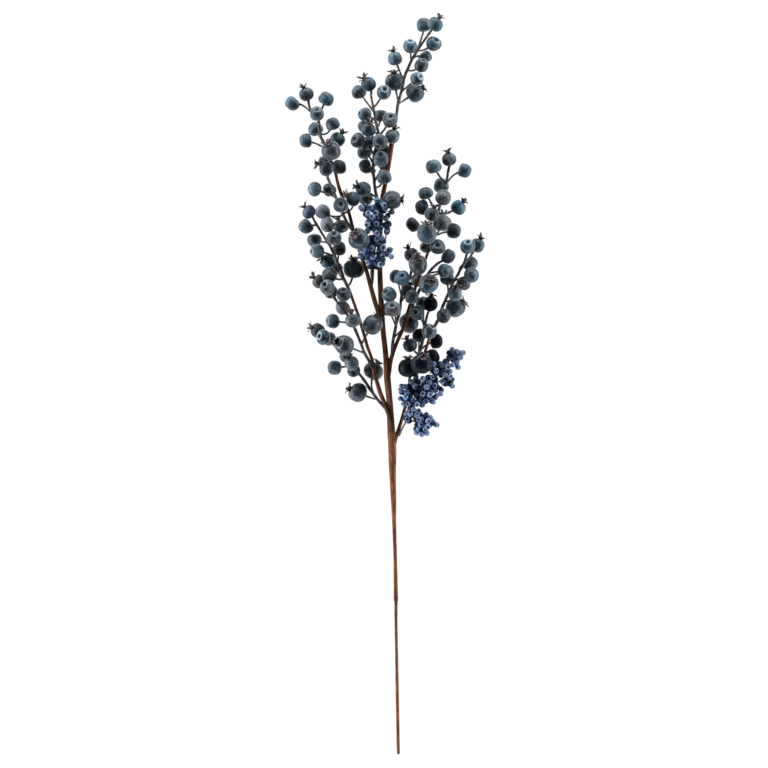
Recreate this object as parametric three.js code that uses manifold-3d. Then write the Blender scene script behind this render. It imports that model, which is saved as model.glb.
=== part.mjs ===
// An artificial blueberry spray, 743 mm long, lying on its back on a flat surface.
// One paper-taped wire stem carries four side branches, twelve berry sprays on dark plastic twigs
// and two heads of small seed berries. Millimetres: +X is to the right across the spray,
// +Y runs from the foot of the stem to the topmost berry, and +Z is up from the surface.
import * as THREE from "three";
import { mergeVertices } from "three/addons/utils/BufferGeometryUtils.js";
import Module from "manifold-3d";

// ---------------------------------------------------------------- driving dimensions

const BOARD_MIDDLE = { x: 383.7, y: 383.7 }; // the part's origin on the laying-out board
const FIT_GAP = 0.35; // left between a twig or branch and the stem that holds it
const STEM_SIDES = 7;
const SPINE_SIDES = 4;
const TWIG_SIDES = 3;
const SPINE_RADIUS = { root: 1.15, tip: 0.9 };
const TWIG_RADIUS = 0.72;
const TWIG_STEPS = 2;
const TWIG_BACK = 0.9; // how far down the spine a twig leaves it, as a share of its reach
const SEED_BACK = 0.35; // the same for a seed berry's stalk
const TWIG_LEAD = 0.9; // how far before the berry the twig already points into it, in berry radii
const TWIG_YIELD = 0.6; // how far its end turns from the berry's own axis towards its root
const TWIG_SUNK = 0.55; // where the twig ends inside the berry, in berry radii from its centre
const HIDDEN_TILT = -35; // a berry with no facing of its own looks away, down towards the surface
const BERRY_FULLNESS = 1.03; // makes up for what the flat facets take off a round berry
const BERRY_SQUASH = 0.95; // a berry is a little shorter than it is wide
const CROWN_TEETH = 5;
const CROWN_REACH = 4.6; // how far the crown's teeth stand beyond the berry's end
const CROWN_SPREAD = 5.4; // from the berry's axis to the tip of a tooth
const SEED_SIDES = 4;
const SEED_LONG = 1.1; // from a seed berry's widest ring to its tip, in its radii
const SEED_HEIGHTS = [5, 0, 8, 2, 6.5, -1, 3.5]; // over the seed head's stalk, taken in turn
const SEED_GROUP = 4; // the last seed berry of every so many is left out, to keep the solid light
const CLEARANCE = 0.6; // least room between two berries, or a berry and a stem
const SEED_CLEARANCE = 0.15;
const PRESSED = 0.8; // how far the weight flattens a foam berry that touches the surface
const SETTLE_ROUNDS = 80;

// ---------------------------------------------------------------- layout
// Every place is measured in millimetres on the board that the spray is laid out on: x from its
// left edge, y down from its top edge, h up from its surface.

// Stems: [x, y, h, width]
const STEMS = {
  main_stem: [
    [398.5, 754.5, 1.1, 2.4], [398.1, 740, 1.3, 2.7], [397.4, 700, 2.6, 2.9], [396.7, 660, 4, 2.6],
    [396, 620, 6, 2.6], [396, 603, 7, 2.8], [395.9, 598, 7.2, 3.8], [395.3, 560, 9.5, 3.1],
    [394.7, 540, 10.8, 3.2], [394.1, 520, 12, 3.6], [393.6, 500, 13.4, 4.7], [392.9, 480, 14.8, 5.4],
    [392.5, 460, 16.2, 6.8], [392.4, 448, 17, 7.2], [391.3, 430, 18.4, 7], [389.5, 400, 20.5, 5.6],
    [387.5, 380, 22, 6.2], [385.7, 355, 23.5, 5], [383, 330, 25, 4.8], [381, 300, 26.5, 5],
    [379.8, 270, 27.5, 4.5], [380, 240, 28, 4.3], [381, 210, 28, 4], [383, 195, 28, 3.8],
    [386, 180, 27.5, 3.8], [389, 162, 27, 4], [391.5, 145, 26, 4.2], [394, 130, 25, 3.8],
    [395.3, 124.5, 24.6, 3],
  ],
  branch_upper_left: [
    [382, 328, 25.2, 4.2], [378, 311, 26.3, 4.4], [374.5, 300, 27, 4.3], [369, 280, 28, 3.8],
    [365.5, 268, 28.5, 3.4], [361, 255, 29, 3.1], [356, 240, 29.5, 3], [352.5, 227, 30, 2.9],
    [349.5, 215, 30, 2.8], [346, 205, 30, 2.8], [342.5, 197, 30, 3], [339.5, 189, 30, 3],
    [337, 180, 30, 2.6], [336, 174, 30, 2.4],
  ],
  branch_left: [
    [391.5, 430, 18.3, 4.4], [389.5, 417, 19.4, 4.2], [384, 402, 21, 3.8], [380, 392, 22, 4],
    [377, 382, 22.5, 3.6], [374.5, 374, 23, 3.4], [373.5, 365, 23.5, 2.7], [370.5, 355, 24, 2.6],
    [367.5, 347, 24.5, 2.8], [365, 338, 25, 2.8], [362, 328, 25.3, 2.6], [358.5, 316, 25.6, 2.6],
    [356, 309, 25.8, 2.5], [353.5, 302, 26, 2.4], [351, 295, 26, 2.4],
  ],
  branch_right: [
    [387.3, 385, 21.6, 4], [389.2, 371, 22.6, 4], [390.5, 362, 23.5, 3.9], [393.3, 352, 24, 3.5],
    [398, 340, 24.5, 3], [402.5, 330, 25, 3.4], [406.3, 320, 25.5, 4.4], [407.3, 314, 26, 3],
    [410, 305, 26.5, 2.8], [413.5, 294, 27, 2.6], [416.5, 284, 27.5, 2.5], [420, 275, 28, 2.4],
    [423.5, 265, 28, 2.4], [427, 255, 28, 2.4], [429, 249, 28, 2.4],
  ],
  branch_lower_right: [
    [392.3, 453, 16.8, 4.2], [394.8, 441, 17.8, 4], [397.5, 433, 18.5, 3.5], [401, 422, 19, 3],
    [405, 408, 19.5, 2.8], [410, 392, 20, 2.8], [416, 376, 21, 2.7], [421, 363, 21.5, 2.6],
    [425, 352, 22, 2.5], [428.5, 341, 22.5, 2.4], [431, 332, 23, 2.4],
  ],
};

// Sprays: the spine's points [x, y, h] from the stem outwards, then its berries, the one on the
// spine's own tip first: [x, y, h, radius, end, facing, tilt]. The end is a toothed crown, a dimple
// or, where none is given, bare and blunt. Facing is the compass turn of that end on the board, in
// degrees from +X towards the top edge, and tilt lifts it towards the viewer above. Berries without
// them look outwards and down.
const CROWN = "crown";
const DIMPLE = "dimple";
const BARE = "bare";
const SPRAYS = {
  spray_top: {
    spine: [
      [394.8, 128, 24.8], [395.8, 120, 24.5], [398.3, 103, 24], [402.5, 87, 23], [404.5, 77, 23],
      [408.5, 67, 23], [412.5, 58.5, 23], [416.5, 52, 24], [423, 42, 25],
    ],
    berries: [
      [435.3, 24.3, 27, 7.4, CROWN, 58, 10], [424.2, 24.5, 15, 7.2, BARE, 100, -10],
      [410.3, 46.3, 32, 7.3, DIMPLE, 90, 35], [433.8, 43.8, 22, 7.2, DIMPLE, 60, 45],
      [395, 58.5, 22, 7, CROWN, 105, 5], [425.5, 57, 16, 6.6, BARE, -55, -5],
      [421.3, 65.5, 32, 7, DIMPLE, 65, 25],
      [394.7, 81.5, 9, 9.6, CROWN, 95, 12], [417.3, 78.8, 33, 6.7, DIMPLE, 30, 50],
      [415.3, 92.6, 8.8, 9.4, CROWN, 33, 5],
    ],
  },
  spray_upper_centre: {
    spine: [
      [381.3, 209, 28], [377.5, 200, 31], [375, 188, 32], [373.8, 176, 32], [373.2, 165, 31],
      [374, 155, 30], [376.5, 146, 30], [378.8, 136, 30], [377.5, 129, 30], [376, 122, 29],
      [374.8, 115, 28], [373.3, 107, 27], [371.2, 96, 26],
    ],
    berries: [
      [368.5, 84, 24, 7.3, CROWN, 130, 30], [358.5, 91.2, 13, 7.1], [384, 92.3, 27, 7.2, DIMPLE, 75, 60],
      [364.8, 114.3, 31, 7, DIMPLE, 175, 20], [380.8, 115.5, 15, 6.6, BARE, 90, 0],
      [390, 120.2, 36, 7.3, DIMPLE, 80, 60], [364.5, 126.5, 22, 6.8],
      [368.7, 130, 37, 6.7, CROWN, 81, 41], [357.5, 140.5, 34, 7.2, DIMPLE, 160, 60], [368, 142.5, 24, 6.5],
      [364.3, 151.3, 6.4, 7], [380, 141.8, 43, 7.4, DIMPLE, 250, 30],
      [392.5, 136.5, 36, 7.3, CROWN, 75, 10], [383, 149, 19, 6.8], [380.8, 159, 37, 7.4, DIMPLE, 90, 50],
      [384.5, 163.5, 16, 6.6], [365.3, 166.8, 28, 6.8, BARE, 195, 0], [384.2, 177.2, 38, 6.9, BARE, 100, 10],
      [363.5, 189.5, 30, 7.2, CROWN, 152, 32], [365, 198, 17, 6.8],
      [392, 199.8, 36, 9.5, CROWN, 0, 5],
    ],
  },
  spray_upper_left: {
    spine: [
      [336.5, 177, 30], [333.5, 167, 30], [329, 157, 30], [326, 148, 30], [323.5, 142, 30],
      [320.5, 136, 30], [319.3, 129, 29], [318.5, 121, 28], [314, 113, 27], [309.5, 107, 25],
    ],
    berries: [
      [306.3, 94.3, 22, 6.8, CROWN, 112, 5], [291.8, 103.5, 24, 7.1, BARE, 225, 0],
      [326.3, 98.5, 22, 7.2, BARE, 60, 0], [317, 114, 38, 7, DIMPLE, 90, 40], [315.2, 128.2, 6.3, 6.9],
      [332.8, 123.5, 26, 7.1, BARE, 110, 10], [305.5, 141, 24, 7, BARE, 185, 5],
      [337.5, 139.3, 20, 7.2, CROWN, 56, 5], [331.3, 151, 41, 9.7, CROWN, 114, 32],
      [324, 162.5, 20, 6.3, CROWN, 190, 10], [339.5, 167, 18, 7, BARE, 0, 0],
    ],
  },
  spray_left_fan: {
    spine: [
      [353.2, 231, 29.8], [347.5, 223, 33], [342, 212, 34], [337, 200, 35], [333, 190, 35],
      [330, 183, 35], [327.5, 177, 36],
    ],
    berries: [
      [326.2, 169, 38, 7, CROWN, 140, 10], [314.5, 189.3, 30, 7.3, DIMPLE, 165, 20],
      [329.3, 189.5, 22, 6.6], [340.8, 205.3, 45, 7.4, DIMPLE, 90, 80],
      [322.8, 211.3, 35, 7.2, BARE, 90, -40],
      [341, 226.5, 6.6, 7.2, CROWN, 111, 0], [327, 225.2, 36, 7.1, BARE, 190, -20],
      [353.3, 199, 36, 7, CROWN, 152, 25], [358.8, 239, 44, 9.7, CROWN, 120, 55],
    ],
  },
  spray_left_mid: {
    spine: [
      [352, 298, 26], [349, 290, 27], [344, 279, 29], [342, 273, 30], [339, 266, 31], [336, 259, 32],
      [333, 252, 32], [330, 246, 32], [326, 240, 31], [320, 230, 30], [314, 220, 29],
    ],
    berries: [
      [309, 212, 28, 6.8, CROWN, 130, 5], [305.5, 226.8, 30, 6.9, BARE, 220, 0], [313.8, 240, 18, 7],
      [334, 238.2, 44, 7.1, DIMPLE, 90, 45], [339.5, 248.3, 22, 6.6],
      [317.3, 251.2, 33, 7, DIMPLE, 180, 25], [327.8, 261.5, 24, 7.2, CROWN, 150, 40],
      [329.5, 274.5, 34, 7.3, BARE, 100, -40], [335.5, 268, 5.9, 6.3],
      [343.5, 294.5, 38, 6.8, DIMPLE, 90, 45],
      [354.3, 269, 22, 9.7, CROWN, 92, 15],
    ],
  },
  spray_left_inner: {
    spine: [
      [373.6, 369, 23.3], [368.5, 360, 26], [364, 352, 28], [361.5, 345, 29], [358.3, 337, 30],
      [355, 329, 30], [349, 317, 31], [345, 312, 31], [340.5, 307, 31], [336.5, 301, 32],
      [333, 295, 35],
    ],
    berries: [
      [327.3, 287.3, 42, 7.3, DIMPLE, 133, 56], [319, 281.8, 22, 7, CROWN, 140, 5],
      [330.8, 291.5, 22, 6.8], [342.3, 307.3, 16, 6.9], [332.8, 321.3, 30, 7, DIMPLE, 180, 25],
      [353, 320.5, 42, 7.3, CROWN, 104, 0], [372.5, 325, 36, 9.5, CROWN, 56, 12],
      [344.5, 345, 41, 9.7, CROWN, 155, 38],
    ],
  },
  spray_left_low: {
    spine: [
      [388, 411, 19.9], [380, 402.5, 21], [376, 397.5, 22], [370, 389, 22], [365, 381.5, 22],
      [360, 375, 22], [355, 370, 22], [349, 362, 21.5], [343, 355, 21], [338, 349, 21],
      [333, 344, 21], [326, 338, 20],
    ],
    berries: [
      [317.8, 331, 20, 7, CROWN, 150, 15], [323.2, 337.3, 35, 7.2, DIMPLE, 163, 52],
      [328.5, 338.3, 6.2, 6.7], [345.5, 356, 5.5, 6], [351.8, 363.5, 34, 7, CROWN, 117, 28],
      [353.5, 370.2, 12, 6.4], [334.5, 367.5, 22, 7, DIMPLE, 180, 15],
      [357.8, 392.8, 16, 9.6, CROWN, 154, 10], [373.5, 371, 8.8, 9.4, CROWN, 60, 0],
    ],
  },
  spray_right_upper: {
    spine: [
      [428, 252, 28], [430, 245, 28], [433, 232, 28], [436.5, 220, 28], [439, 209, 28],
      [443, 197, 28], [445, 190, 28], [447, 179, 28], [448.3, 170, 27],
    ],
    berries: [
      [449, 159.3, 26, 7.1, CROWN, 100, 15], [433.5, 166.3, 30, 7.2, BARE, 110, 0],
      [464.8, 170.8, 28, 7, BARE, -20, 0], [441.3, 185, 16, 7.2], [443.3, 197, 40, 7.4],
      [425.8, 193, 30, 6.9, BARE, 110, -5], [421.8, 207.8, 27, 7.3, BARE, 185, 0],
      [431.5, 214.5, 40, 7, CROWN, 72, 20], [458.5, 207.5, 30, 7.2, CROWN, 50, 10],
      [442, 222.5, 8.6, 9.2, CROWN, 85, -20], [426.8, 233.8, 45, 9.7, CROWN, 90, 28],
      [454, 231, 28, 7.2, BARE, -10, 5], [437.6, 246.8, 39, 7.4, DIMPLE, 90, 75],
      [426, 246.5, 16, 6.2], [412.5, 224.8, 28, 7.1, BARE, 225, 0],
    ],
  },
  spray_right_inner: {
    spine: [
      [392, 357, 23.7], [392.3, 347, 25.5], [393.5, 338, 27], [395.5, 328, 28], [397.5, 319, 29],
      [400, 311, 30], [401, 300, 30], [403, 290, 30], [406, 284, 30], [410, 277, 30], [412, 267, 29],
    ],
    berries: [
      [411.3, 254.8, 27, 7.1, CROWN, 115, 10], [389, 294.5, 36, 7.2, DIMPLE, 135, 45],
      [393.3, 309, 44, 7.4, DIMPLE, 110, 45], [388.5, 308.5, 17, 6.8],
      [402.3, 278.3, 41, 7.3, DIMPLE, 90, 70], [396.5, 276.3, 21, 6.5],
      [418, 265, 41, 9.2, CROWN, 103, 43], [409.5, 322.5, 8.8, 9.5], [407.5, 291, 18, 6.5, CROWN, 70, 0],
    ],
  },
  spray_right_mid: {
    spine: [
      [406.6, 319, 25.6], [411.2, 309, 30.5], [416.5, 296, 32], [421.5, 286, 32], [425.5, 278, 32],
      [430, 271, 32], [437, 264, 31], [443, 260, 30],
    ],
    berries: [
      [448.3, 256.8, 28, 7.1, BARE, -30, 0], [412, 297, 38, 7, BARE, 97, 10],
      [417.5, 280, 5.9, 6.5], [428.5, 284, 40, 9.6, CROWN, 56, 68], [444.8, 270.8, 40, 6.9],
      [448.5, 271, 5.4, 5.8],
    ],
  },
  spray_right_outer: {
    spine: [
      [430, 335, 22.9], [432.5, 330, 23.5], [438, 320, 25], [440, 314, 26], [442, 308, 27],
      [445.5, 300, 28], [449, 292, 29], [453, 283, 30], [457, 276, 30], [461, 269, 30],
      [464.5, 262, 31], [466.5, 255, 34],
    ],
    berries: [
      [467.8, 246.6, 38, 7.3, DIMPLE, 90, 45], [477.3, 245.5, 24, 6.9, CROWN, 65, 5],
      [471, 264, 20, 7, BARE, -35, 0], [471.6, 275, 38, 7.2], [463.5, 283.3, 22, 7, DIMPLE, 180, -20],
      [455, 294, 38, 6.8, CROWN, 88, 30], [455.5, 307.3, 22, 9.7, CROWN, 33, 15],
      [443.8, 315.8, 38, 6.8], [447, 278.3, 20, 6.7],
    ],
  },
  spray_right_low: {
    spine: [
      [411.1, 389, 20.1], [409.5, 380, 20], [412, 370, 20], [416, 360, 21], [419.5, 352, 23],
      [421.8, 344, 25], [423.5, 336, 26], [425, 326, 27], [427, 316, 28],
    ],
    berries: [
      [430.3, 304, 30, 7.3, CROWN, 85, 30], [417.3, 313, 36, 7.2, DIMPLE, 143, 68], [423, 303, 14, 7],
      [419.3, 335, 6, 6.7], [429.3, 331.5, 39, 7.1, DIMPLE, 60, 30], [436.5, 340.8, 14, 7, BARE, 0, 0],
      [410.2, 345.3, 26, 6.8, CROWN, 117, 5], [408.5, 367.8, 31, 9.6, CROWN, 93, 12],
      [421.6, 363.5, 46, 9.8, CROWN, 78, 47], [432.8, 356.5, 28, 7.3, BARE, 30, 0],
    ],
  },
};

// Seed heads: the stalks' points [x, y, h, width], the first the one that carries the others, and
// the places of the seed berries [x, y].
const SEED_HEADS = {
  seed_head_upper: {
    radius: 2.5,
    stalks: [
      [
        [371.2, 289, 27.5, 2.4], [372.2, 281, 31, 3], [372.4, 271, 34, 3.8], [373.4, 262, 35, 2.2],
        [376, 240, 36, 1.8], [377.5, 222, 36, 1.6], [378, 206, 36, 1.4],
      ],
      [[374.4, 256, 35.3, 1.6], [379, 249, 35.5, 1.6], [385, 240, 36, 1.6], [387, 226, 36, 1.4]],
      [[377, 228, 36, 1.6], [371, 221, 36, 1.6], [366, 213, 36, 1.4]],
    ],
    seeds: [
      [376.5, 200], [380.5, 203], [384, 205], [377, 207.5], [361.5, 208], [365.5, 206.5],
      [371, 207.5], [385, 209], [391.5, 212], [368, 214], [373.5, 210.5], [376, 213], [381, 216],
      [386, 219], [371.5, 219], [377, 218], [367.5, 224.5], [372, 228], [376, 224], [383, 225.5],
      [380.5, 228.5], [367.5, 231], [371, 238], [376.5, 234], [386.5, 232], [381.5, 238],
      [371, 243.5], [377.5, 244], [372, 248], [367, 247.5], [363, 251], [361, 255.5], [383, 247],
      [389.5, 250], [380, 251], [371.5, 251], [386.5, 254], [391, 256.5], [367.5, 256],
      [373, 257.5], [379, 256], [383, 259.5], [369, 262], [376, 263], [380, 265],
      [375, 230.6], [376.6, 239.2], [367.4, 251.8], [377.4, 259.6], [382.6, 255.2],
      [381.9, 263.6], [372.2, 216.9],
    ],
  },
  seed_head_lower: {
    radius: 2.6,
    stalks: [
      [
        [398.8, 436, 18.3, 2.2], [401.5, 430, 21, 2.2], [404, 425, 24, 2], [407, 418, 26, 2],
        [410, 400, 27, 2], [418, 388, 28, 1.8], [430, 378, 28, 1.8], [445, 365, 27, 1.6],
        [455, 355, 26, 1.4],
      ],
      [[405.4, 421.7, 25, 1.8], [413, 421, 27, 1.6], [420, 424, 28, 1.6], [430, 424, 27, 1.4]],
      [[409, 404, 26.8, 1.6], [418, 400, 28, 1.6], [430, 399, 28, 1.4]],
      [[425, 381.6, 28, 1.6], [436, 381, 28, 1.6], [447, 384, 27, 1.4]],
    ],
    seeds: [
      [452, 350], [457.5, 352], [462.5, 353], [455, 357], [460, 357.5], [449, 357.5], [453, 359],
      [457, 361], [445.5, 361.5], [452.5, 365], [458, 367], [433.5, 364], [437, 365.5],
      [440.5, 364], [443, 366], [432, 368], [447.5, 367], [449.5, 371], [436, 371], [440, 371.5],
      [443.5, 371], [435.5, 374], [447.5, 375], [450, 377], [452.5, 379.5], [442, 381.5],
      [447, 384], [452, 386], [432, 377.5], [428.5, 379], [423, 378.5], [416, 377.5],
      [429.5, 382.5], [418.5, 382], [424, 383], [412, 382], [430.5, 388], [426.5, 387],
      [438.5, 388], [440.5, 393.5], [436, 396], [431.5, 392], [429.5, 395], [432, 401.5],
      [423, 394], [416, 395], [407, 393], [401.5, 386.5], [405.5, 387], [401, 390],
      [400.5, 398.5], [405.5, 397.5], [410, 397.5], [413.5, 399.5], [418, 399], [421.5, 399.5],
      [426, 401.5], [422, 405], [417.5, 404], [404, 404], [408.5, 404], [412.5, 405.5],
      [411, 411.5], [418.5, 411], [407, 414.5], [410, 414], [407.5, 419], [416.5, 415],
      [421.8, 415], [426.7, 415], [430.5, 418], [424.5, 418], [419.3, 419.3], [422.5, 420],
      [428, 421], [432.6, 421.8], [436.5, 425], [420.7, 424.2], [424.6, 423.9], [427.7, 426.7],
      [418.6, 428.8], [425.3, 428.8], [416.5, 432.3], [421.4, 434.4], [427, 433.3],
      [440.8, 374.8], [445.2, 374.5], [435.6, 390.2], [434.6, 385.2], [427, 390], [422.6, 388],
      [415, 386], [408.4, 390], [413.5, 409.5], [414.5, 414],
    ],
  },
};

// ---------------------------------------------------------------- curves

function onBoard(x, y, h) {
  return new THREE.Vector3(x - BOARD_MIDDLE.x, BOARD_MIDDLE.y - y, h);
}

// A line through the rows' points, with half of each row's width as its radius there.
function lineThrough(rows) {
  return {
    stations: rows.map(([x, y, h]) => onBoard(x, y, h)),
    radii: rows.map(([, , , width]) => width / 2),
  };
}

// The direction that a berry's far end looks in.
function lookOut(facing, tilt) {
  const turn = THREE.MathUtils.degToRad(facing);
  const lift = THREE.MathUtils.degToRad(tilt);
  return new THREE.Vector3(
    Math.cos(turn) * Math.cos(lift),
    Math.sin(turn) * Math.cos(lift),
    Math.sin(lift),
  );
}

// The place on a line that lies below the station nearest to a point, by a share of the distance
// between the two. It is never the line's first station, which stands inside a stem.
function placeBelow(stations, point, share) {
  let nearest = 1;
  stations.forEach((station, i) => {
    if (i > 0 && station.distanceTo(point) < stations[nearest].distanceTo(point)) nearest = i;
  });
  let left = stations[nearest].distanceTo(point) * share;
  let i = nearest;
  while (i > 1) {
    const step = stations[i].distanceTo(stations[i - 1]);
    if (step > left) return stations[i].clone().lerp(stations[i - 1], left / step);
    left -= step;
    i -= 1;
  }
  return stations[i].clone();
}

// ---------------------------------------------------------------- settling
// Berries keep their places on the board. Only their heights give way, until none shares room
// with another or with a stem or spine, and none goes below the surface.

// The nearest place to a ball along a line, seen from above: how far away, how high and how thick.
function nearestAcross(ball, line) {
  let found = { across: Infinity };
  for (let i = 0; i + 1 < line.stations.length; i++) {
    const a = line.stations[i];
    const b = line.stations[i + 1];
    const along = { x: b.x - a.x, y: b.y - a.y };
    const reach = (ball.x - a.x) * along.x + (ball.y - a.y) * along.y;
    const share = Math.min(1, Math.max(0, reach / (along.x * along.x + along.y * along.y)));
    const across = Math.hypot(ball.x - a.x - along.x * share, ball.y - a.y - along.y * share);
    if (across < found.across) {
      found = { across, h: a.z + (b.z - a.z) * share, radius: line.radii[i] };
    }
  }
  return found;
}

// Heights that one ball has to keep to one that gives way too, or to a thing that doesn't.
function pairRule(ball, other) {
  const room = ball.radius + other.radius + Math.min(ball.room, other.room);
  const across = Math.hypot(ball.x - other.x, ball.y - other.y);
  const [low, high] = ball.h <= other.h ? [ball, other] : [other, ball];
  return across < room ? { low, high, rise: Math.sqrt(room * room - across * across) } : null;
}

function limitRule(ball, { across, h, radius }) {
  const room = ball.radius + radius + ball.room;
  if (across >= room) return null;
  const rise = Math.sqrt(room * room - across * across);
  const above = ball.h >= h;
  return { ball, above, limit: above ? h + rise : h - rise };
}

function settle(balls, lines, fixedBalls) {
  const pairs = [];
  const limits = [];
  balls.forEach((ball, i) => {
    balls.slice(i + 1).forEach((other) => pairs.push(pairRule(ball, other)));
    for (const line of lines) {
      if (line !== ball.carriedBy) limits.push(limitRule(ball, nearestAcross(ball, line)));
    }
    for (const { x, y, h, radius } of fixedBalls) {
      const across = Math.hypot(ball.x - x, ball.y - y);
      limits.push(limitRule(ball, { across, h, radius }));
    }
  });
  for (let round = 0; round < SETTLE_ROUNDS; round++) {
    for (const { low, high, rise } of pairs.filter(Boolean)) {
      const short = rise - (high.h - low.h);
      if (short > 0) {
        low.h -= short / 2;
        high.h += short / 2;
      }
    }
    for (const { ball, limit, above } of limits.filter(Boolean)) {
      ball.h = above ? Math.max(ball.h, limit) : Math.min(ball.h, limit);
    }
    for (const ball of balls) {
      ball.h = Math.max(ball.h, ball.radius - PRESSED);
    }
  }
}

function stalkName(head, i) {
  return `${head}_stalk_${i + 1}`;
}

const lines = {};
for (const [name, rows] of Object.entries(STEMS)) {
  lines[name] = lineThrough(rows);
}
for (const [name, { spine }] of Object.entries(SPRAYS)) {
  const last = spine.length - 1;
  const width = (i) => 2 * THREE.MathUtils.lerp(SPINE_RADIUS.root, SPINE_RADIUS.tip, i / last);
  lines[name] = lineThrough(spine.map(([x, y, h], i) => [x, y, h, width(i)]));
}
for (const [name, { stalks }] of Object.entries(SEED_HEADS)) {
  stalks.forEach((stalk, i) => {
    lines[stalkName(name, i)] = lineThrough(stalk);
  });
}

const berries = {};
for (const [name, spray] of Object.entries(SPRAYS)) {
  berries[name] = spray.berries.map(([x, y, h, radius, end = BARE, facing, tilt = HIDDEN_TILT], i) => {
    const { x: px, y: py } = onBoard(x, y, h);
    const carriedBy = i === 0 ? lines[name] : null;
    return { x: px, y: py, h, radius, room: CLEARANCE, end, facing, tilt, carriedBy };
  });
}

settle(Object.values(berries).flat(), Object.values(lines), []);

const seeds = {};
for (const [name, head] of Object.entries(SEED_HEADS)) {
  seeds[name] = head.seeds.map(([x, y], i) => {
    const { x: px, y: py } = onBoard(x, y, 0);
    const ball = { x: px, y: py, radius: head.radius, room: SEED_CLEARANCE };
    const stalks = head.stalks.map((_, k) => lines[stalkName(name, k)]);
    const reaches = stalks.map((stalk) => nearestAcross(ball, stalk).across);
    ball.carriedBy = stalks[reaches.indexOf(Math.min(...reaches))];
    ball.h = nearestAcross(ball, ball.carriedBy).h + SEED_HEIGHTS[i % SEED_HEIGHTS.length];
    return ball;
  });
}
settle(Object.values(seeds).flat(), Object.values(lines), Object.values(berries).flat());

// ---------------------------------------------------------------- solids

const wasm = await Module();
wasm.setup();

function solidOf(geometry) {
  const bare = geometry.clone();
  bare.deleteAttribute("normal");
  bare.deleteAttribute("uv");
  const merged = mergeVertices(bare, 1e-4);
  return new wasm.Manifold(
    new wasm.Mesh({
      numProp: 3,
      vertProperties: new Float32Array(merged.attributes.position.array),
      triVerts: new Uint32Array(merged.index.array),
    }),
  );
}

function geometryOf(solid) {
  const mesh = solid.getMesh();
  const geometry = new THREE.BufferGeometry();
  geometry.setAttribute("position", new THREE.BufferAttribute(mesh.vertProperties, 3));
  geometry.setIndex(new THREE.BufferAttribute(mesh.triVerts, 1));
  geometry.computeVertexNormals();
  return geometry;
}

function closedGeometry(points, triangles) {
  const geometry = new THREE.BufferGeometry().setFromPoints(points);
  geometry.setIndex(triangles.flat());
  return geometry;
}

// A closed tube along stations, with the radius of each.
function sweep(stations, radii, sides) {
  const points = [];
  const triangles = [];
  const side = new THREE.Vector3(0.31, 0.17, 0.94);
  stations.forEach((station, i) => {
    const before = stations[Math.max(i - 1, 0)];
    const after = stations[Math.min(i + 1, stations.length - 1)];
    const ahead = after.clone().sub(before).normalize();
    side.addScaledVector(ahead, -side.dot(ahead)).normalize();
    const across = ahead.clone().cross(side);
    for (let k = 0; k < sides; k++) {
      const turn = (2 * Math.PI * k) / sides;
      points.push(
        station
          .clone()
          .addScaledVector(side, radii[i] * Math.cos(turn))
          .addScaledVector(across, radii[i] * Math.sin(turn)),
      );
    }
  });
  const rings = stations.length;
  for (let i = 0; i + 1 < rings; i++) {
    for (let k = 0; k < sides; k++) {
      const a = i * sides + k;
      const b = i * sides + ((k + 1) % sides);
      triangles.push([a, b, b + sides], [a, b + sides, a + sides]);
    }
  }
  for (let k = 1; k + 1 < sides; k++) {
    const top = (rings - 1) * sides;
    triangles.push([0, k + 1, k], [top, top + k, top + k + 1]);
  }
  return solidOf(closedGeometry(points, triangles));
}

// A shape on the Z axis: a foot point, then rings { at, radius }, each turned half a step from the
// one below it and joined to it by triangles. `last` is the first point of the open top ring.
function ringPoints(ring, turned, sides) {
  return Array.from({ length: sides }, (_, k) => {
    const turn = (2 * Math.PI * (k + (turned ? 0.5 : 0))) / sides;
    return new THREE.Vector3(ring.radius * Math.cos(turn), ring.radius * Math.sin(turn), ring.at);
  });
}

function stackedRings(foot, rings, sides) {
  const points = [new THREE.Vector3(0, 0, foot)];
  const triangles = [];
  rings.forEach((ring, i) => {
    points.push(...ringPoints(ring, i % 2 === 1, sides));
    for (let k = 0; k < sides; k++) {
      const next = (k + 1) % sides;
      const here = 1 + i * sides;
      if (i === 0) {
        triangles.push([0, here + next, here + k]);
        continue;
      }
      const below = here - sides;
      if (i % 2 === 1) {
        triangles.push([below + k, below + next, here + k], [here + k, below + next, here + next]);
      } else {
        triangles.push([below + k, here + next, here + k], [below + k, below + next, here + next]);
      }
    }
  });
  return { points, triangles, last: 1 + (rings.length - 1) * sides };
}

const BERRY_RINGS = [
  { at: -0.66, radius: 0.76 },
  { at: -0.12, radius: 1.03 },
  { at: 0.52, radius: 0.9 },
];
const FAR_ENDS = {
  [CROWN]: { ring: { at: 0.93, radius: 0.38 }, middle: 0.8 },
  [DIMPLE]: { ring: { at: 0.93, radius: 0.38 }, middle: 0.68 },
  [BARE]: { ring: { at: 0.94, radius: 0.5 }, middle: 0.98 },
};

// A berry about the origin, its stalk end at -Z and its far end at +Z, in shares of its radius.
function berryGeometry(end, radius) {
  const { ring: endRing, middle: endMiddle } = FAR_ENDS[end];
  const { points, triangles, last } = stackedRings(-0.98, [...BERRY_RINGS, endRing], CROWN_TEETH);
  const rim = Array.from({ length: CROWN_TEETH }, (_, k) => last + k);
  let edge = rim;
  if (end === CROWN) {
    const tips = rim.map((_, k) => points.length + k);
    const tipRing = { at: 1 + CROWN_REACH / radius, radius: CROWN_SPREAD / radius };
    points.push(...ringPoints(tipRing, true, CROWN_TEETH));
    rim.forEach((a, k) => triangles.push([a, rim[(k + 1) % CROWN_TEETH], tips[k]]));
    edge = rim.flatMap((a, k) => [a, tips[k]]);
  }
  const middle = points.length;
  points.push(new THREE.Vector3(0, 0, endMiddle));
  edge.forEach((a, k) => triangles.push([a, edge[(k + 1) % edge.length], middle]));
  return closedGeometry(points, triangles);
}

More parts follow.
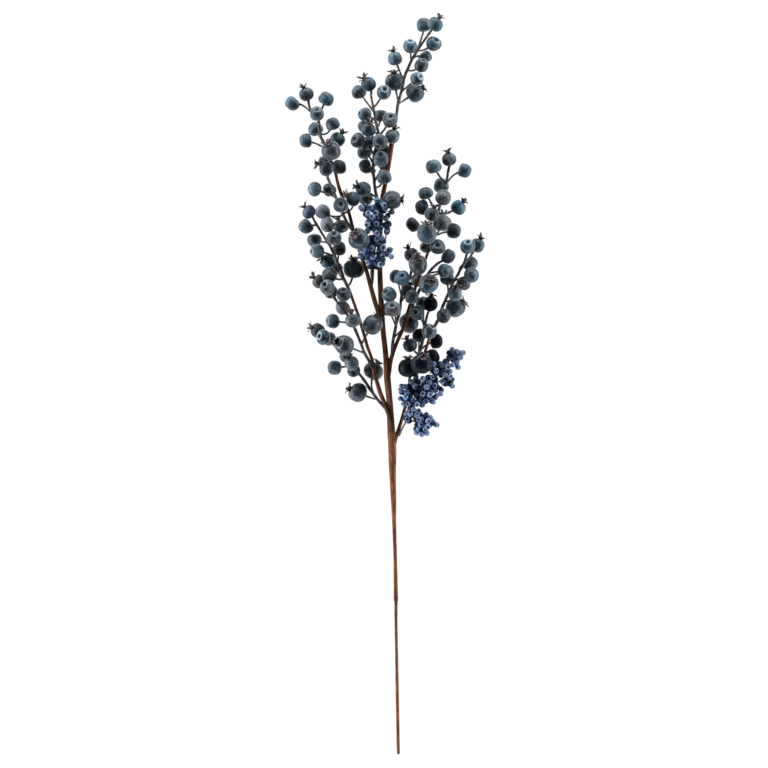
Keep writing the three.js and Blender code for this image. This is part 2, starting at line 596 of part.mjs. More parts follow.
function turnedCopy(geometry, axis, centre, size) {
  const turn = new THREE.Quaternion().setFromUnitVectors(new THREE.Vector3(0, 0, 1), axis);
  return geometry.clone().applyMatrix4(new THREE.Matrix4().compose(centre, turn, size));
}

// A twig from a point of the spine to a berry, which it enters between the berry's own axis and
// the straight line from its root.
function twig(from, centre, axis, radius) {
  const straight = centre.clone().sub(from).normalize();
  const aim = axis.clone().lerp(straight, TWIG_YIELD).normalize();
  const lead = centre.clone().addScaledVector(aim, -(1 + TWIG_LEAD) * radius);
  const end = centre.clone().addScaledVector(aim, -TWIG_SUNK * radius);
  const curve = new THREE.QuadraticBezierCurve3(from, lead, end);
  return sweep(curve.getPoints(TWIG_STEPS), Array(TWIG_STEPS + 1).fill(TWIG_RADIUS), TWIG_SIDES);
}

function spray(name) {
  const parts = [];
  const list = berries[name].map((berry) => {
    const centre = new THREE.Vector3(berry.x, berry.y, berry.h);
    const root = placeBelow(lines[name].stations, centre, TWIG_BACK);
    const outwards = Math.atan2(centre.y - root.y, centre.x - root.x);
    const axis = lookOut(berry.facing ?? THREE.MathUtils.radToDeg(outwards), berry.tilt);
    return { ...berry, centre, root, axis };
  });
  list.forEach(({ centre, root, axis, radius, end }, i) => {
    const size = new THREE.Vector3(1, 1, BERRY_SQUASH).multiplyScalar(radius * BERRY_FULLNESS);
    parts.push(solidOf(turnedCopy(berryGeometry(end, radius), axis, centre, size)));
    if (i > 0) parts.push(twig(root, centre, axis, radius));
  });
  const { centre, axis, radius } = list[0];
  const stations = [
    ...lines[name].stations,
    centre.clone().addScaledVector(axis, -TWIG_SUNK * radius),
  ];
  const radii = [...lines[name].radii, SPINE_RADIUS.tip];
  parts.push(sweep(stations, radii, SPINE_SIDES));
  return wasm.Manifold.union(parts);
}

// A seed berry and its hair-thin stalk in one spindle along +Z: the foot stands in the seed head's
// stalk, `reach` seed radii below the widest ring.
function seedGeometry(reach) {
  const { points, triangles, last } = stackedRings(-reach, [{ at: 0, radius: 1 }], SEED_SIDES);
  const tip = points.length;
  points.push(new THREE.Vector3(0, 0, SEED_LONG));
  for (let k = 0; k < SEED_SIDES; k++) {
    triangles.push([last + k, last + ((k + 1) % SEED_SIDES), tip]);
  }
  return closedGeometry(points, triangles);
}

function seedHead(name) {
  const parts = SEED_HEADS[name].stalks.map((_, i) => {
    const { stations, radii } = lines[stalkName(name, i)];
    return sweep(stations, radii, SPINE_SIDES);
  });
  const shown = seeds[name].filter((_, i) => i % SEED_GROUP !== SEED_GROUP - 1);
  for (const { x, y, h, radius, carriedBy } of shown) {
    const centre = new THREE.Vector3(x, y, h);
    const root = placeBelow(carriedBy.stations, centre, SEED_BACK);
    const growth = centre.clone().sub(root);
    const size = new THREE.Vector3(radius, radius, radius);
    const shape = seedGeometry(growth.length() / radius);
    parts.push(solidOf(turnedCopy(shape, growth.normalize(), centre, size)));
  }
  return wasm.Manifold.union(parts);
}

// ---------------------------------------------------------------- assembly

const MATERIALS = {
  tape: new THREE.MeshStandardMaterial({ color: "#64402b", roughness: 0.85, metalness: 0 }),
  berry: new THREE.MeshStandardMaterial({ color: "#3c505f", roughness: 0.7, metalness: 0 }),
  seed: new THREE.MeshStandardMaterial({ color: "#5a73a5", roughness: 0.6, metalness: 0 }),
};

function floorBlock() {
  const block = new THREE.BoxGeometry(1000, 1000, 50);
  block.translate(0, 0, -25);
  return solidOf(block);
}

const floor = floorBlock();
const group = new THREE.Group();

function addPiece(name, solid, material) {
  const mesh = new THREE.Mesh(geometryOf(solid.subtract(floor)), material);
  mesh.name = name;
  group.add(mesh);
}

// Each stem is cut to fit the ones before it, and every spray and seed head to fit the stems.
const taken = [];
function takeRoom(name) {
  const { stations, radii } = lines[name];
  const pastEnd = (end, next) => end.clone().add(end.clone().sub(next).setLength(FIT_GAP));
  const longer = [
    pastEnd(stations[0], stations[1]),
    ...stations,
    pastEnd(stations.at(-1), stations.at(-2)),
  ];
  const wider = [radii[0], ...radii, radii.at(-1)].map((radius) => radius + FIT_GAP);
  taken.push(sweep(longer, wider, STEM_SIDES));
}
function cutToFit(solid) {
  return taken.reduce((left, room) => left.subtract(room), solid);
}

for (const name of Object.keys(STEMS)) {
  const { stations, radii } = lines[name];
  addPiece(name, cutToFit(sweep(stations, radii, STEM_SIDES)), MATERIALS.tape);
  takeRoom(name);
}
for (const name of Object.keys(SPRAYS)) {
  addPiece(name, cutToFit(spray(name)), MATERIALS.berry);
}
for (const name of Object.keys(SEED_HEADS)) {
  addPiece(name, cutToFit(seedHead(name)), MATERIALS.seed);
}

export default group;
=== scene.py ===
"""Looks of an artificial blueberry spray that lies on its back on a pale floor.

The spray's pieces are worked out as whole arrays: taped stems and branches, dark plastic twigs,
foam berries with toothed crowns, rimmed dimples or bare ends, and two heads of small seed berries.
They follow the same rows as the solids that they replace. Lengths are millimetres until a mesh is
made, and metres for the floor, the lamps and the camera.
"""

import bpy
import numpy as np
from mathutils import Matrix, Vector


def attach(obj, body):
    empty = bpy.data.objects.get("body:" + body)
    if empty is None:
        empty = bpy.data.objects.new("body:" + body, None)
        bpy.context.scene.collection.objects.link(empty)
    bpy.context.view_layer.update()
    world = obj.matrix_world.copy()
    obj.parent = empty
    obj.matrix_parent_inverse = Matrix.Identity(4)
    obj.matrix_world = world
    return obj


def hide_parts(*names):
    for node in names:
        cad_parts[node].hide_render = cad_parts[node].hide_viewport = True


MM = 0.001  # in metres
BOARD_MIDDLE = np.array([383.7, 383.7])  # the part's origin on the laying-out board
SPINE_RADIUS = (1.15, 0.9)  # at the root and at the tip
TWIG_RADIUS = 1.0
DRESSED = 1.04  # a dressed berry against its solid
SPINE_FULLNESS = 1.45  # the same for a spine
STEM_FULLNESS = 1.1  # and for a taped stem
TWIG_BACK = 0.9  # how far down the spine a twig leaves it, as a share of its reach
SEED_BACK = 0.35  # the same for a seed berry's stalk
TWIG_LEAD = 0.9  # how far before the berry the twig points into it, in berry radii
TWIG_YIELD = 0.6  # how far its end turns from the berry's own axis towards its root
TWIG_SUNK = 0.8  # where the twig ends inside the berry, in berry radii from its centre
HIDDEN_TILT = -35  # a berry with no facing of its own looks away, down towards the surface
BERRY_SQUASH = 0.95  # where a crown stands on its berry, in berry radii from its centre
LARGE_BERRY = 8.5  # a berry of this radius or more has a wide crown
CLEARANCE = 0.6  # the gap that a berry keeps
SEED_CLEARANCE = 0.15  # the same for a seed berry
PRESSED = 0.8  # how far the surface presses the lowest berries flat
SETTLE_ROUNDS = 80
SEED_HEIGHTS = (5, 0, 8, 2, 6.5, -1, 3.5)  # over the seed head's stalk, taken in turn

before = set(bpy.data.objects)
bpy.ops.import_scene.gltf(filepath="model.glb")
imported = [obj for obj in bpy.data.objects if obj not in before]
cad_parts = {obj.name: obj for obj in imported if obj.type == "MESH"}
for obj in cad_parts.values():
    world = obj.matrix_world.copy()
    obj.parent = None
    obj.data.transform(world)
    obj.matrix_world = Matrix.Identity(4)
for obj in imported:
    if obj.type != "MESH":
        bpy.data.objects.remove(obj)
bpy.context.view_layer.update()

# ------------------------------------------------------------------ layout
# Places are in millimetres on the board that the spray is laid out on: x from its left edge, y down
# from its top edge, h up from its surface.

# Stems: [x, y, h, width]
STEMS = {
  "main_stem": [
    [398.5, 754.5, 1.1, 2.4], [398.1, 740, 1.3, 2.7], [397.4, 700, 2.6, 2.9], [396.7, 660, 4, 2.6],
    [396, 620, 6, 2.6], [396, 603, 7, 2.8], [395.9, 598, 7.2, 3.8], [395.3, 560, 9.5, 3.1],
    [394.7, 540, 10.8, 3.2], [394.1, 520, 12, 3.6], [393.6, 500, 13.4, 4.7], [392.9, 480, 14.8, 5.4],
    [392.5, 460, 16.2, 6.8], [392.4, 448, 17, 7.2], [391.3, 430, 18.4, 7], [389.5, 400, 20.5, 5.6],
    [387.5, 380, 22, 6.2], [385.7, 355, 23.5, 5], [383, 330, 25, 4.8], [381, 300, 26.5, 5],
    [379.8, 270, 27.5, 4.5], [380, 240, 28, 4.3], [381, 210, 28, 4], [383, 195, 28, 3.8],
    [386, 180, 27.5, 3.8], [389, 162, 27, 4], [391.5, 145, 26, 4.2], [394, 130, 25, 3.8],
    [395.3, 124.5, 24.6, 3],
  ],
  "branch_upper_left": [
    [382, 328, 25.2, 4.2], [378, 311, 26.3, 4.4], [374.5, 300, 27, 4.3], [369, 280, 28, 3.8],
    [365.5, 268, 28.5, 3.4], [361, 255, 29, 3.1], [356, 240, 29.5, 3], [352.5, 227, 30, 2.9],
    [349.5, 215, 30, 2.8], [346, 205, 30, 2.8], [342.5, 197, 30, 3], [339.5, 189, 30, 3],
    [337, 180, 30, 2.6], [336, 174, 30, 2.4],
  ],
  "branch_left": [
    [391.5, 430, 18.3, 4.4], [389.5, 417, 19.4, 4.2], [384, 402, 21, 3.8], [380, 392, 22, 4],
    [377, 382, 22.5, 3.6], [374.5, 374, 23, 3.4], [373.5, 365, 23.5, 2.7], [370.5, 355, 24, 2.6],
    [367.5, 347, 24.5, 2.8], [365, 338, 25, 2.8], [362, 328, 25.3, 2.6], [358.5, 316, 25.6, 2.6],
    [356, 309, 25.8, 2.5], [353.5, 302, 26, 2.4], [351, 295, 26, 2.4],
  ],
  "branch_right": [
    [387.3, 385, 21.6, 4], [389.2, 371, 22.6, 4], [390.5, 362, 23.5, 3.9], [393.3, 352, 24, 3.5],
    [398, 340, 24.5, 3], [402.5, 330, 25, 3.4], [406.3, 320, 25.5, 4.4], [407.3, 314, 26, 3],
    [410, 305, 26.5, 2.8], [413.5, 294, 27, 2.6], [416.5, 284, 27.5, 2.5], [420, 275, 28, 2.4],
    [423.5, 265, 28, 2.4], [427, 255, 28, 2.4], [429, 249, 28, 2.4],
  ],
  "branch_lower_right": [
    [392.3, 453, 16.8, 4.2], [394.8, 441, 17.8, 4], [397.5, 433, 18.5, 3.5], [401, 422, 19, 3],
    [405, 408, 19.5, 2.8], [410, 392, 20, 2.8], [416, 376, 21, 2.7], [421, 363, 21.5, 2.6],
    [425, 352, 22, 2.5], [428.5, 341, 22.5, 2.4], [431, 332, 23, 2.4],
  ],
}

# Sprays: the spine's points [x, y, h] from the stem outwards, then its berries, the one on the
# spine's own tip first: [x, y, h, radius, end, facing, tilt]. The end is a toothed crown, a dimple
# or, where none is given, bare and blunt. Facing is the compass turn of that end on the board, in
# degrees from +X towards the top edge, and tilt lifts it towards the viewer above. Berries without
# them look outwards and down.
CROWN = "crown"
DIMPLE = "dimple"
BARE = "bare"
SPRAYS = {
  "spray_top": {
    "spine": [
      [394.8, 128, 24.8], [395.8, 120, 24.5], [398.3, 103, 24], [402.5, 87, 23], [404.5, 77, 23],
      [408.5, 67, 23], [412.5, 58.5, 23], [416.5, 52, 24], [423, 42, 25],
    ],
    "berries": [
      [435.3, 24.3, 27, 7.4, CROWN, 58, 10], [424.2, 24.5, 15, 7.2, BARE, 100, -10],
      [410.3, 46.3, 32, 7.3, DIMPLE, 90, 35], [433.8, 43.8, 22, 7.2, DIMPLE, 60, 45],
      [395, 58.5, 22, 7, CROWN, 105, 5], [425.5, 57, 16, 6.6, BARE, -55, -5],
      [421.3, 65.5, 32, 7, DIMPLE, 65, 25],
      [394.7, 81.5, 9, 9.6, CROWN, 95, 12], [417.3, 78.8, 33, 6.7, DIMPLE, 30, 50],
      [415.3, 92.6, 8.8, 9.4, CROWN, 33, 5],
    ],
  },
  "spray_upper_centre": {
    "spine": [
      [381.3, 209, 28], [377.5, 200, 31], [375, 188, 32], [373.8, 176, 32], [373.2, 165, 31],
      [374, 155, 30], [376.5, 146, 30], [378.8, 136, 30], [377.5, 129, 30], [376, 122, 29],
      [374.8, 115, 28], [373.3, 107, 27], [371.2, 96, 26],
    ],
    "berries": [
      [368.5, 84, 24, 7.3, CROWN, 130, 30], [358.5, 91.2, 13, 7.1], [384, 92.3, 27, 7.2, DIMPLE, 75, 60],
      [364.8, 114.3, 31, 7, DIMPLE, 175, 20], [380.8, 115.5, 15, 6.6, BARE, 90, 0],
      [390, 120.2, 36, 7.3, DIMPLE, 80, 60], [364.5, 126.5, 22, 6.8],
      [368.7, 130, 37, 6.7, CROWN, 81, 41], [357.5, 140.5, 34, 7.2, DIMPLE, 160, 60], [368, 142.5, 24, 6.5],
      [364.3, 151.3, 6.4, 7], [380, 141.8, 43, 7.4, DIMPLE, 250, 30],
      [392.5, 136.5, 36, 7.3, CROWN, 75, 10], [383, 149, 19, 6.8], [380.8, 159, 37, 7.4, DIMPLE, 90, 50],
      [384.5, 163.5, 16, 6.6], [365.3, 166.8, 28, 6.8, BARE, 195, 0], [384.2, 177.2, 38, 6.9, BARE, 100, 10],
      [363.5, 189.5, 30, 7.2, CROWN, 152, 32], [365, 198, 17, 6.8],
      [392, 199.8, 36, 9.5, CROWN, 0, 5],
    ],
  },
  "spray_upper_left": {
    "spine": [
      [336.5, 177, 30], [333.5, 167, 30], [329, 157, 30], [326, 148, 30], [323.5, 142, 30],
      [320.5, 136, 30], [319.3, 129, 29], [318.5, 121, 28], [314, 113, 27], [309.5, 107, 25],
    ],
    "berries": [
      [306.3, 94.3, 22, 6.8, CROWN, 112, 5], [291.8, 103.5, 24, 7.1, BARE, 225, 0],
      [326.3, 98.5, 22, 7.2, BARE, 60, 0], [317, 114, 38, 7, DIMPLE, 90, 40], [315.2, 128.2, 6.3, 6.9],
      [332.8, 123.5, 26, 7.1, BARE, 110, 10], [305.5, 141, 24, 7, BARE, 185, 5],
      [337.5, 139.3, 20, 7.2, CROWN, 56, 5], [331.3, 151, 41, 9.7, CROWN, 114, 32],
      [324, 162.5, 20, 6.3, CROWN, 190, 10], [339.5, 167, 18, 7, BARE, 0, 0],
    ],
  },
  "spray_left_fan": {
    "spine": [
      [353.2, 231, 29.8], [347.5, 223, 33], [342, 212, 34], [337, 200, 35], [333, 190, 35],
      [330, 183, 35], [327.5, 177, 36],
    ],
    "berries": [
      [326.2, 169, 38, 7, CROWN, 140, 10], [314.5, 189.3, 30, 7.3, DIMPLE, 165, 20],
      [329.3, 189.5, 22, 6.6], [340.8, 205.3, 45, 7.4, DIMPLE, 90, 80],
      [322.8, 211.3, 35, 7.2, BARE, 90, -40],
      [341, 226.5, 6.6, 7.2, CROWN, 111, 0], [327, 225.2, 36, 7.1, BARE, 190, -20],
      [353.3, 199, 36, 7, CROWN, 152, 25], [358.8, 239, 44, 9.7, CROWN, 120, 55],
    ],
  },
  "spray_left_mid": {
    "spine": [
      [352, 298, 26], [349, 290, 27], [344, 279, 29], [342, 273, 30], [339, 266, 31], [336, 259, 32],
      [333, 252, 32], [330, 246, 32], [326, 240, 31], [320, 230, 30], [314, 220, 29],
    ],
    "berries": [
      [309, 212, 28, 6.8, CROWN, 130, 5], [305.5, 226.8, 30, 6.9, BARE, 220, 0], [313.8, 240, 18, 7],
      [334, 238.2, 44, 7.1, DIMPLE, 90, 45], [339.5, 248.3, 22, 6.6],
      [317.3, 251.2, 33, 7, DIMPLE, 180, 25], [327.8, 261.5, 24, 7.2, CROWN, 150, 40],
      [329.5, 274.5, 34, 7.3, BARE, 100, -40], [335.5, 268, 5.9, 6.3],
      [343.5, 294.5, 38, 6.8, DIMPLE, 90, 45],
      [354.3, 269, 22, 9.7, CROWN, 92, 15],
    ],
  },
  "spray_left_inner": {
    "spine": [
      [373.6, 369, 23.3], [368.5, 360, 26], [364, 352, 28], [361.5, 345, 29], [358.3, 337, 30],
      [355, 329, 30], [349, 317, 31], [345, 312, 31], [340.5, 307, 31], [336.5, 301, 32],
      [333, 295, 35],
    ],
    "berries": [
      [327.3, 287.3, 42, 7.3, DIMPLE, 133, 56], [319, 281.8, 22, 7, CROWN, 140, 5],
      [330.8, 291.5, 22, 6.8], [342.3, 307.3, 16, 6.9], [332.8, 321.3, 30, 7, DIMPLE, 180, 25],
      [353, 320.5, 42, 7.3, CROWN, 104, 0], [372.5, 325, 36, 9.5, CROWN, 56, 12],
      [344.5, 345, 41, 9.7, CROWN, 155, 38],
    ],
  },
  "spray_left_low": {
    "spine": [
      [388, 411, 19.9], [380, 402.5, 21], [376, 397.5, 22], [370, 389, 22], [365, 381.5, 22],
      [360, 375, 22], [355, 370, 22], [349, 362, 21.5], [343, 355, 21], [338, 349, 21],
      [333, 344, 21], [326, 338, 20],
    ],
    "berries": [
      [317.8, 331, 20, 7, CROWN, 150, 15], [323.2, 337.3, 35, 7.2, DIMPLE, 163, 52],
      [328.5, 338.3, 6.2, 6.7], [345.5, 356, 5.5, 6], [351.8, 363.5, 34, 7, CROWN, 117, 28],
      [353.5, 370.2, 12, 6.4], [334.5, 367.5, 22, 7, DIMPLE, 180, 15],
      [357.8, 392.8, 16, 9.6, CROWN, 154, 10], [373.5, 371, 8.8, 9.4, CROWN, 60, 0],
    ],
  },
  "spray_right_upper": {
    "spine": [
      [428, 252, 28], [430, 245, 28], [433, 232, 28], [436.5, 220, 28], [439, 209, 28],
      [443, 197, 28], [445, 190, 28], [447, 179, 28], [448.3, 170, 27],
    ],
    "berries": [
      [449, 159.3, 26, 7.1, CROWN, 100, 15], [433.5, 166.3, 30, 7.2, BARE, 110, 0],
      [464.8, 170.8, 28, 7, BARE, -20, 0], [441.3, 185, 16, 7.2], [443.3, 197, 40, 7.4],
      [425.8, 193, 30, 6.9, BARE, 110, -5], [421.8, 207.8, 27, 7.3, BARE, 185, 0],
      [431.5, 214.5, 40, 7, CROWN, 72, 20], [458.5, 207.5, 30, 7.2, CROWN, 50, 10],
      [442, 222.5, 8.6, 9.2, CROWN, 85, -20], [426.8, 233.8, 45, 9.7, CROWN, 90, 28],
      [454, 231, 28, 7.2, BARE, -10, 5], [437.6, 246.8, 39, 7.4, DIMPLE, 90, 75],
      [426, 246.5, 16, 6.2], [412.5, 224.8, 28, 7.1, BARE, 225, 0],
    ],
  },
  "spray_right_inner": {
    "spine": [
      [392, 357, 23.7], [392.3, 347, 25.5], [393.5, 338, 27], [395.5, 328, 28], [397.5, 319, 29],
      [400, 311, 30], [401, 300, 30], [403, 290, 30], [406, 284, 30], [410, 277, 30], [412, 267, 29],
    ],
    "berries": [
      [411.3, 254.8, 27, 7.1, CROWN, 115, 10], [389, 294.5, 36, 7.2, DIMPLE, 135, 45],
      [393.3, 309, 44, 7.4, DIMPLE, 110, 45], [388.5, 308.5, 17, 6.8],
      [402.3, 278.3, 41, 7.3, DIMPLE, 90, 70], [396.5, 276.3, 21, 6.5],
      [418, 265, 41, 9.2, CROWN, 103, 43], [409.5, 322.5, 8.8, 9.5], [407.5, 291, 18, 6.5, CROWN, 70, 0],
    ],
  },
  "spray_right_mid": {
    "spine": [
      [406.6, 319, 25.6], [411.2, 309, 30.5], [416.5, 296, 32], [421.5, 286, 32], [425.5, 278, 32],
      [430, 271, 32], [437, 264, 31], [443, 260, 30],
    ],
    "berries": [
      [448.3, 256.8, 28, 7.1, BARE, -30, 0], [412, 297, 38, 7, BARE, 97, 10],
      [417.5, 280, 5.9, 6.5], [428.5, 284, 40, 9.6, CROWN, 56, 68], [444.8, 270.8, 40, 6.9],
      [448.5, 271, 5.4, 5.8],
    ],
  },
  "spray_right_outer": {
    "spine": [
      [430, 335, 22.9], [432.5, 330, 23.5], [438, 320, 25], [440, 314, 26], [442, 308, 27],
      [445.5, 300, 28], [449, 292, 29], [453, 283, 30], [457, 276, 30], [461, 269, 30],
      [464.5, 262, 31], [466.5, 255, 34],
    ],
    "berries": [
      [467.8, 246.6, 38, 7.3, DIMPLE, 90, 45], [477.3, 245.5, 24, 6.9, CROWN, 65, 5],
      [471, 264, 20, 7, BARE, -35, 0], [471.6, 275, 38, 7.2], [463.5, 283.3, 22, 7, DIMPLE, 180, -20],
      [455, 294, 38, 6.8, CROWN, 88, 30], [455.5, 307.3, 22, 9.7, CROWN, 33, 15],
      [443.8, 315.8, 38, 6.8], [447, 278.3, 20, 6.7],
    ],
  },
  "spray_right_low": {
    "spine": [
      [411.1, 389, 20.1], [409.5, 380, 20], [412, 370, 20], [416, 360, 21], [419.5, 352, 23],
      [421.8, 344, 25], [423.5, 336, 26], [425, 326, 27], [427, 316, 28],
    ],
    "berries": [
      [430.3, 304, 30, 7.3, CROWN, 85, 30], [417.3, 313, 36, 7.2, DIMPLE, 143, 68], [423, 303, 14, 7],
      [419.3, 335, 6, 6.7], [429.3, 331.5, 39, 7.1, DIMPLE, 60, 30], [436.5, 340.8, 14, 7, BARE, 0, 0],
      [410.2, 345.3, 26, 6.8, CROWN, 117, 5], [408.5, 367.8, 31, 9.6, CROWN, 93, 12],
      [421.6, 363.5, 46, 9.8, CROWN, 78, 47], [432.8, 356.5, 28, 7.3, BARE, 30, 0],
    ],
  },
}

# Seed heads: the stalks' points [x, y, h, width], the first the one that carries the others, and
# the places of the seed berries [x, y].
SEED_HEADS = {
  "seed_head_upper": {
    "radius": 2.5,
    "stalks": [
      [
        [371.2, 289, 27.5, 2.4], [372.2, 281, 31, 3], [372.4, 271, 34, 3.8], [373.4, 262, 35, 2.2],
        [376, 240, 36, 1.8], [377.5, 222, 36, 1.6], [378, 206, 36, 1.4],
      ],
      [[374.4, 256, 35.3, 1.6], [379, 249, 35.5, 1.6], [385, 240, 36, 1.6], [387, 226, 36, 1.4]],
      [[377, 228, 36, 1.6], [371, 221, 36, 1.6], [366, 213, 36, 1.4]],
    ],
    "seeds": [
      [376.5, 200], [380.5, 203], [384, 205], [377, 207.5], [361.5, 208], [365.5, 206.5],
      [371, 207.5], [385, 209], [391.5, 212], [368, 214], [373.5, 210.5], [376, 213], [381, 216],
      [386, 219], [371.5, 219], [377, 218], [367.5, 224.5], [372, 228], [376, 224], [383, 225.5],
      [380.5, 228.5], [367.5, 231], [371, 238], [376.5, 234], [386.5, 232], [381.5, 238],
      [371, 243.5], [377.5, 244], [372, 248], [367, 247.5], [363, 251], [361, 255.5], [383, 247],
      [389.5, 250], [380, 251], [371.5, 251], [386.5, 254], [391, 256.5], [367.5, 256],
      [373, 257.5], [379, 256], [383, 259.5], [369, 262], [376, 263], [380, 265],
      [375, 230.6], [376.6, 239.2], [367.4, 251.8], [377.4, 259.6], [382.6, 255.2],
      [381.9, 263.6], [372.2, 216.9],
    ],
  },
  "seed_head_lower": {
    "radius": 2.6,
    "stalks": [
      [
        [398.8, 436, 18.3, 2.2], [401.5, 430, 21, 2.2], [404, 425, 24, 2], [407, 418, 26, 2],
        [410, 400, 27, 2], [418, 388, 28, 1.8], [430, 378, 28, 1.8], [445, 365, 27, 1.6],
        [455, 355, 26, 1.4],
      ],
      [[405.4, 421.7, 25, 1.8], [413, 421, 27, 1.6], [420, 424, 28, 1.6], [430, 424, 27, 1.4]],
      [[409, 404, 26.8, 1.6], [418, 400, 28, 1.6], [430, 399, 28, 1.4]],
      [[425, 381.6, 28, 1.6], [436, 381, 28, 1.6], [447, 384, 27, 1.4]],
    ],
    "seeds": [
      [452, 350], [457.5, 352], [462.5, 353], [455, 357], [460, 357.5], [449, 357.5], [453, 359],
      [457, 361], [445.5, 361.5], [452.5, 365], [458, 367], [433.5, 364], [437, 365.5],
      [440.5, 364], [443, 366], [432, 368], [447.5, 367], [449.5, 371], [436, 371], [440, 371.5],
      [443.5, 371], [435.5, 374], [447.5, 375], [450, 377], [452.5, 379.5], [442, 381.5],
      [447, 384], [452, 386], [432, 377.5], [428.5, 379], [423, 378.5], [416, 377.5],
      [429.5, 382.5], [418.5, 382], [424, 383], [412, 382], [430.5, 388], [426.5, 387],
      [438.5, 388], [440.5, 393.5], [436, 396], [431.5, 392], [429.5, 395], [432, 401.5],
      [423, 394], [416, 395], [407, 393], [401.5, 386.5], [405.5, 387], [401, 390],
      [400.5, 398.5], [405.5, 397.5], [410, 397.5], [413.5, 399.5], [418, 399], [421.5, 399.5],
      [426, 401.5], [422, 405], [417.5, 404], [404, 404], [408.5, 404], [412.5, 405.5],
      [411, 411.5], [418.5, 411], [407, 414.5], [410, 414], [407.5, 419], [416.5, 415],
      [421.8, 415], [426.7, 415], [430.5, 418], [424.5, 418], [419.3, 419.3], [422.5, 420],
      [428, 421], [432.6, 421.8], [436.5, 425], [420.7, 424.2], [424.6, 423.9], [427.7, 426.7],
      [418.6, 428.8], [425.3, 428.8], [416.5, 432.3], [421.4, 434.4], [427, 433.3],
      [440.8, 374.8], [445.2, 374.5], [435.6, 390.2], [434.6, 385.2], [427, 390], [422.6, 388],
      [415, 386], [408.4, 390], [413.5, 409.5], [414.5, 414],
    ],
  },
}


# One letter for each berry, in the order of its spray's rows: its coat of paint. A capital letter
# gives it a wide open pit as well, painted black as its shade.
TONES = {
  "spray_top": "tmmtppdmmm",
  "spray_upper_centre": "mmMMwgwtgygdppmddmpde",
  "spray_upper_left": "dttDmmmpdww",
  "spray_left_fan": "dpmIwdwti",
  "spray_left_mid": "vimDgptedgd",
  "spray_left_inner": "DgewpmgD",
  "spray_left_low": "mTwgmmmdd",
  "spray_right_upper": "wpmpepmdtwmdewg",
  "spray_right_inner": "dpGdttgdg",
  "spray_right_mid": "meymmm",
  "spray_right_outer": "ttmmdtmem",
  "spray_right_low": "kIykikdknk",
}
# The berries whose gloss was left clear of dust, by their places in the rows.
POLISHED = {
  "spray_top": (2, 3, 8),
  "spray_upper_centre": (2, 16),
  "spray_upper_left": (8,),
  "spray_left_fan": (8,),
  "spray_left_inner": (7,),
  "spray_left_low": (1,),
  "spray_right_upper": (12,),
  "spray_right_outer": (0, 3),
  "spray_right_low": (0, 1, 2, 4, 7, 8),
}
PAINTS = {  # sRGB, 0 to 255
  "m": (37, 66, 84),
  "t": (30, 80, 101),
  "d": (29, 41, 53),
  "k": (8, 11, 16),
  "p": (84, 114, 128),
  "g": (63, 69, 77),
  "v": (66, 76, 112),
  "n": (8, 27, 40),
  "i": (16, 38, 50),
  "e": (16, 22, 30),
  "w": (92, 98, 106),
  # y: a very pale coat for berries that lie in the shade of others, painted light against that shade.
  "y": (140, 148, 156),
}
DARK_PAINTS = "kn"  # almost clean dark berries, with less dust on their crowns too
PAINT_SPREAD = (0.86, 1.14)  # how much lighter or darker than its paint a berry is


def linear(rgb):
    """sRGB, 0 to 255, as linear light: straight near black, and a power of 2.4 above it."""
    share = np.array(rgb) / 255
    return np.where(share <= 0.04045, share / 12.92, ((share + 0.055) / 1.055) ** 2.4)


# ------------------------------------------------------------------ curves

CURVE_STEPS = 24  # fine steps between two points of a row
LEAST_STEPS = 3  # of a path, however short it is


def on_board(rows):
    """Rows [x, y, h, ...] as points in millimetres in the part's own frame."""
    rows = np.array([row[:3] for row in rows], float)
    return np.column_stack([rows[:, 0] - BOARD_MIDDLE[0], BOARD_MIDDLE[1] - rows[:, 1], rows[:, 2]])


def unit(vectors):
    return vectors / np.linalg.norm(vectors, axis=-1, keepdims=True)


def turns(sides):
    """Evenly spaced turns round an axis, in radians."""
    return np.linspace(0, 2 * np.pi, sides, endpoint=False)


def smooth_path(points, values, step):
    """A Catmull-Rom curve through points: between b and c, with neighbours a and d, the place at t is
    b + t (c-a)/2 + t^2 (a - 5b/2 + 2c - d/2) + t^3 (-a + 3b - 3c + d)/2. Values run straight
    between the points. Stations are `step` apart, evenly along the curve."""
    padded = np.vstack([2 * points[0] - points[1], points, 2 * points[-1] - points[-2]])
    t = np.linspace(0, 1, CURVE_STEPS, endpoint=False)[:, None]
    pieces = []
    for i in range(len(points) - 1):
        a, b, c, d = padded[i : i + 4]
        pieces.append(
            b + t * (c - a) / 2 + t**2 * (a - 2.5 * b + 2 * c - 0.5 * d) + t**3 * (3 * b - a - 3 * c + d) / 2
        )
    fine = np.vstack(pieces + [points[-1:]])
    knots = np.repeat(np.arange(len(points) - 1), len(t)) + np.tile(t[:, 0], len(points) - 1)
    knots = np.append(knots, len(points) - 1)
    reach = np.concatenate([[0], np.cumsum(np.linalg.norm(np.diff(fine, axis=0), axis=1))])
    stops = np.linspace(0, reach[-1], max(int(reach[-1] / step), LEAST_STEPS) + 1)
    path = np.column_stack([np.interp(stops, reach, fine[:, k]) for k in range(3)])
    return path, np.interp(np.interp(stops, reach, knots), np.arange(len(points)), values), stops


def bezier(start, lead, end, stations):
    """A quadratic curve from start to end that leaves and enters along the lines to the lead point:
    (1-t)^2 start + 2t (1-t) lead + t^2 end."""
    t = np.linspace(0, 1, stations)[:, None]
    return (1 - t) ** 2 * start + 2 * t * (1 - t) * lead + t**2 * end


def look_out(facing, tilt):
    """The direction that a berry's far end looks in, from its compass turn and its lift in degrees."""
    turn, lift = np.radians(facing), np.radians(tilt)
    return np.array([np.cos(turn) * np.cos(lift), np.sin(turn) * np.cos(lift), np.sin(lift)])


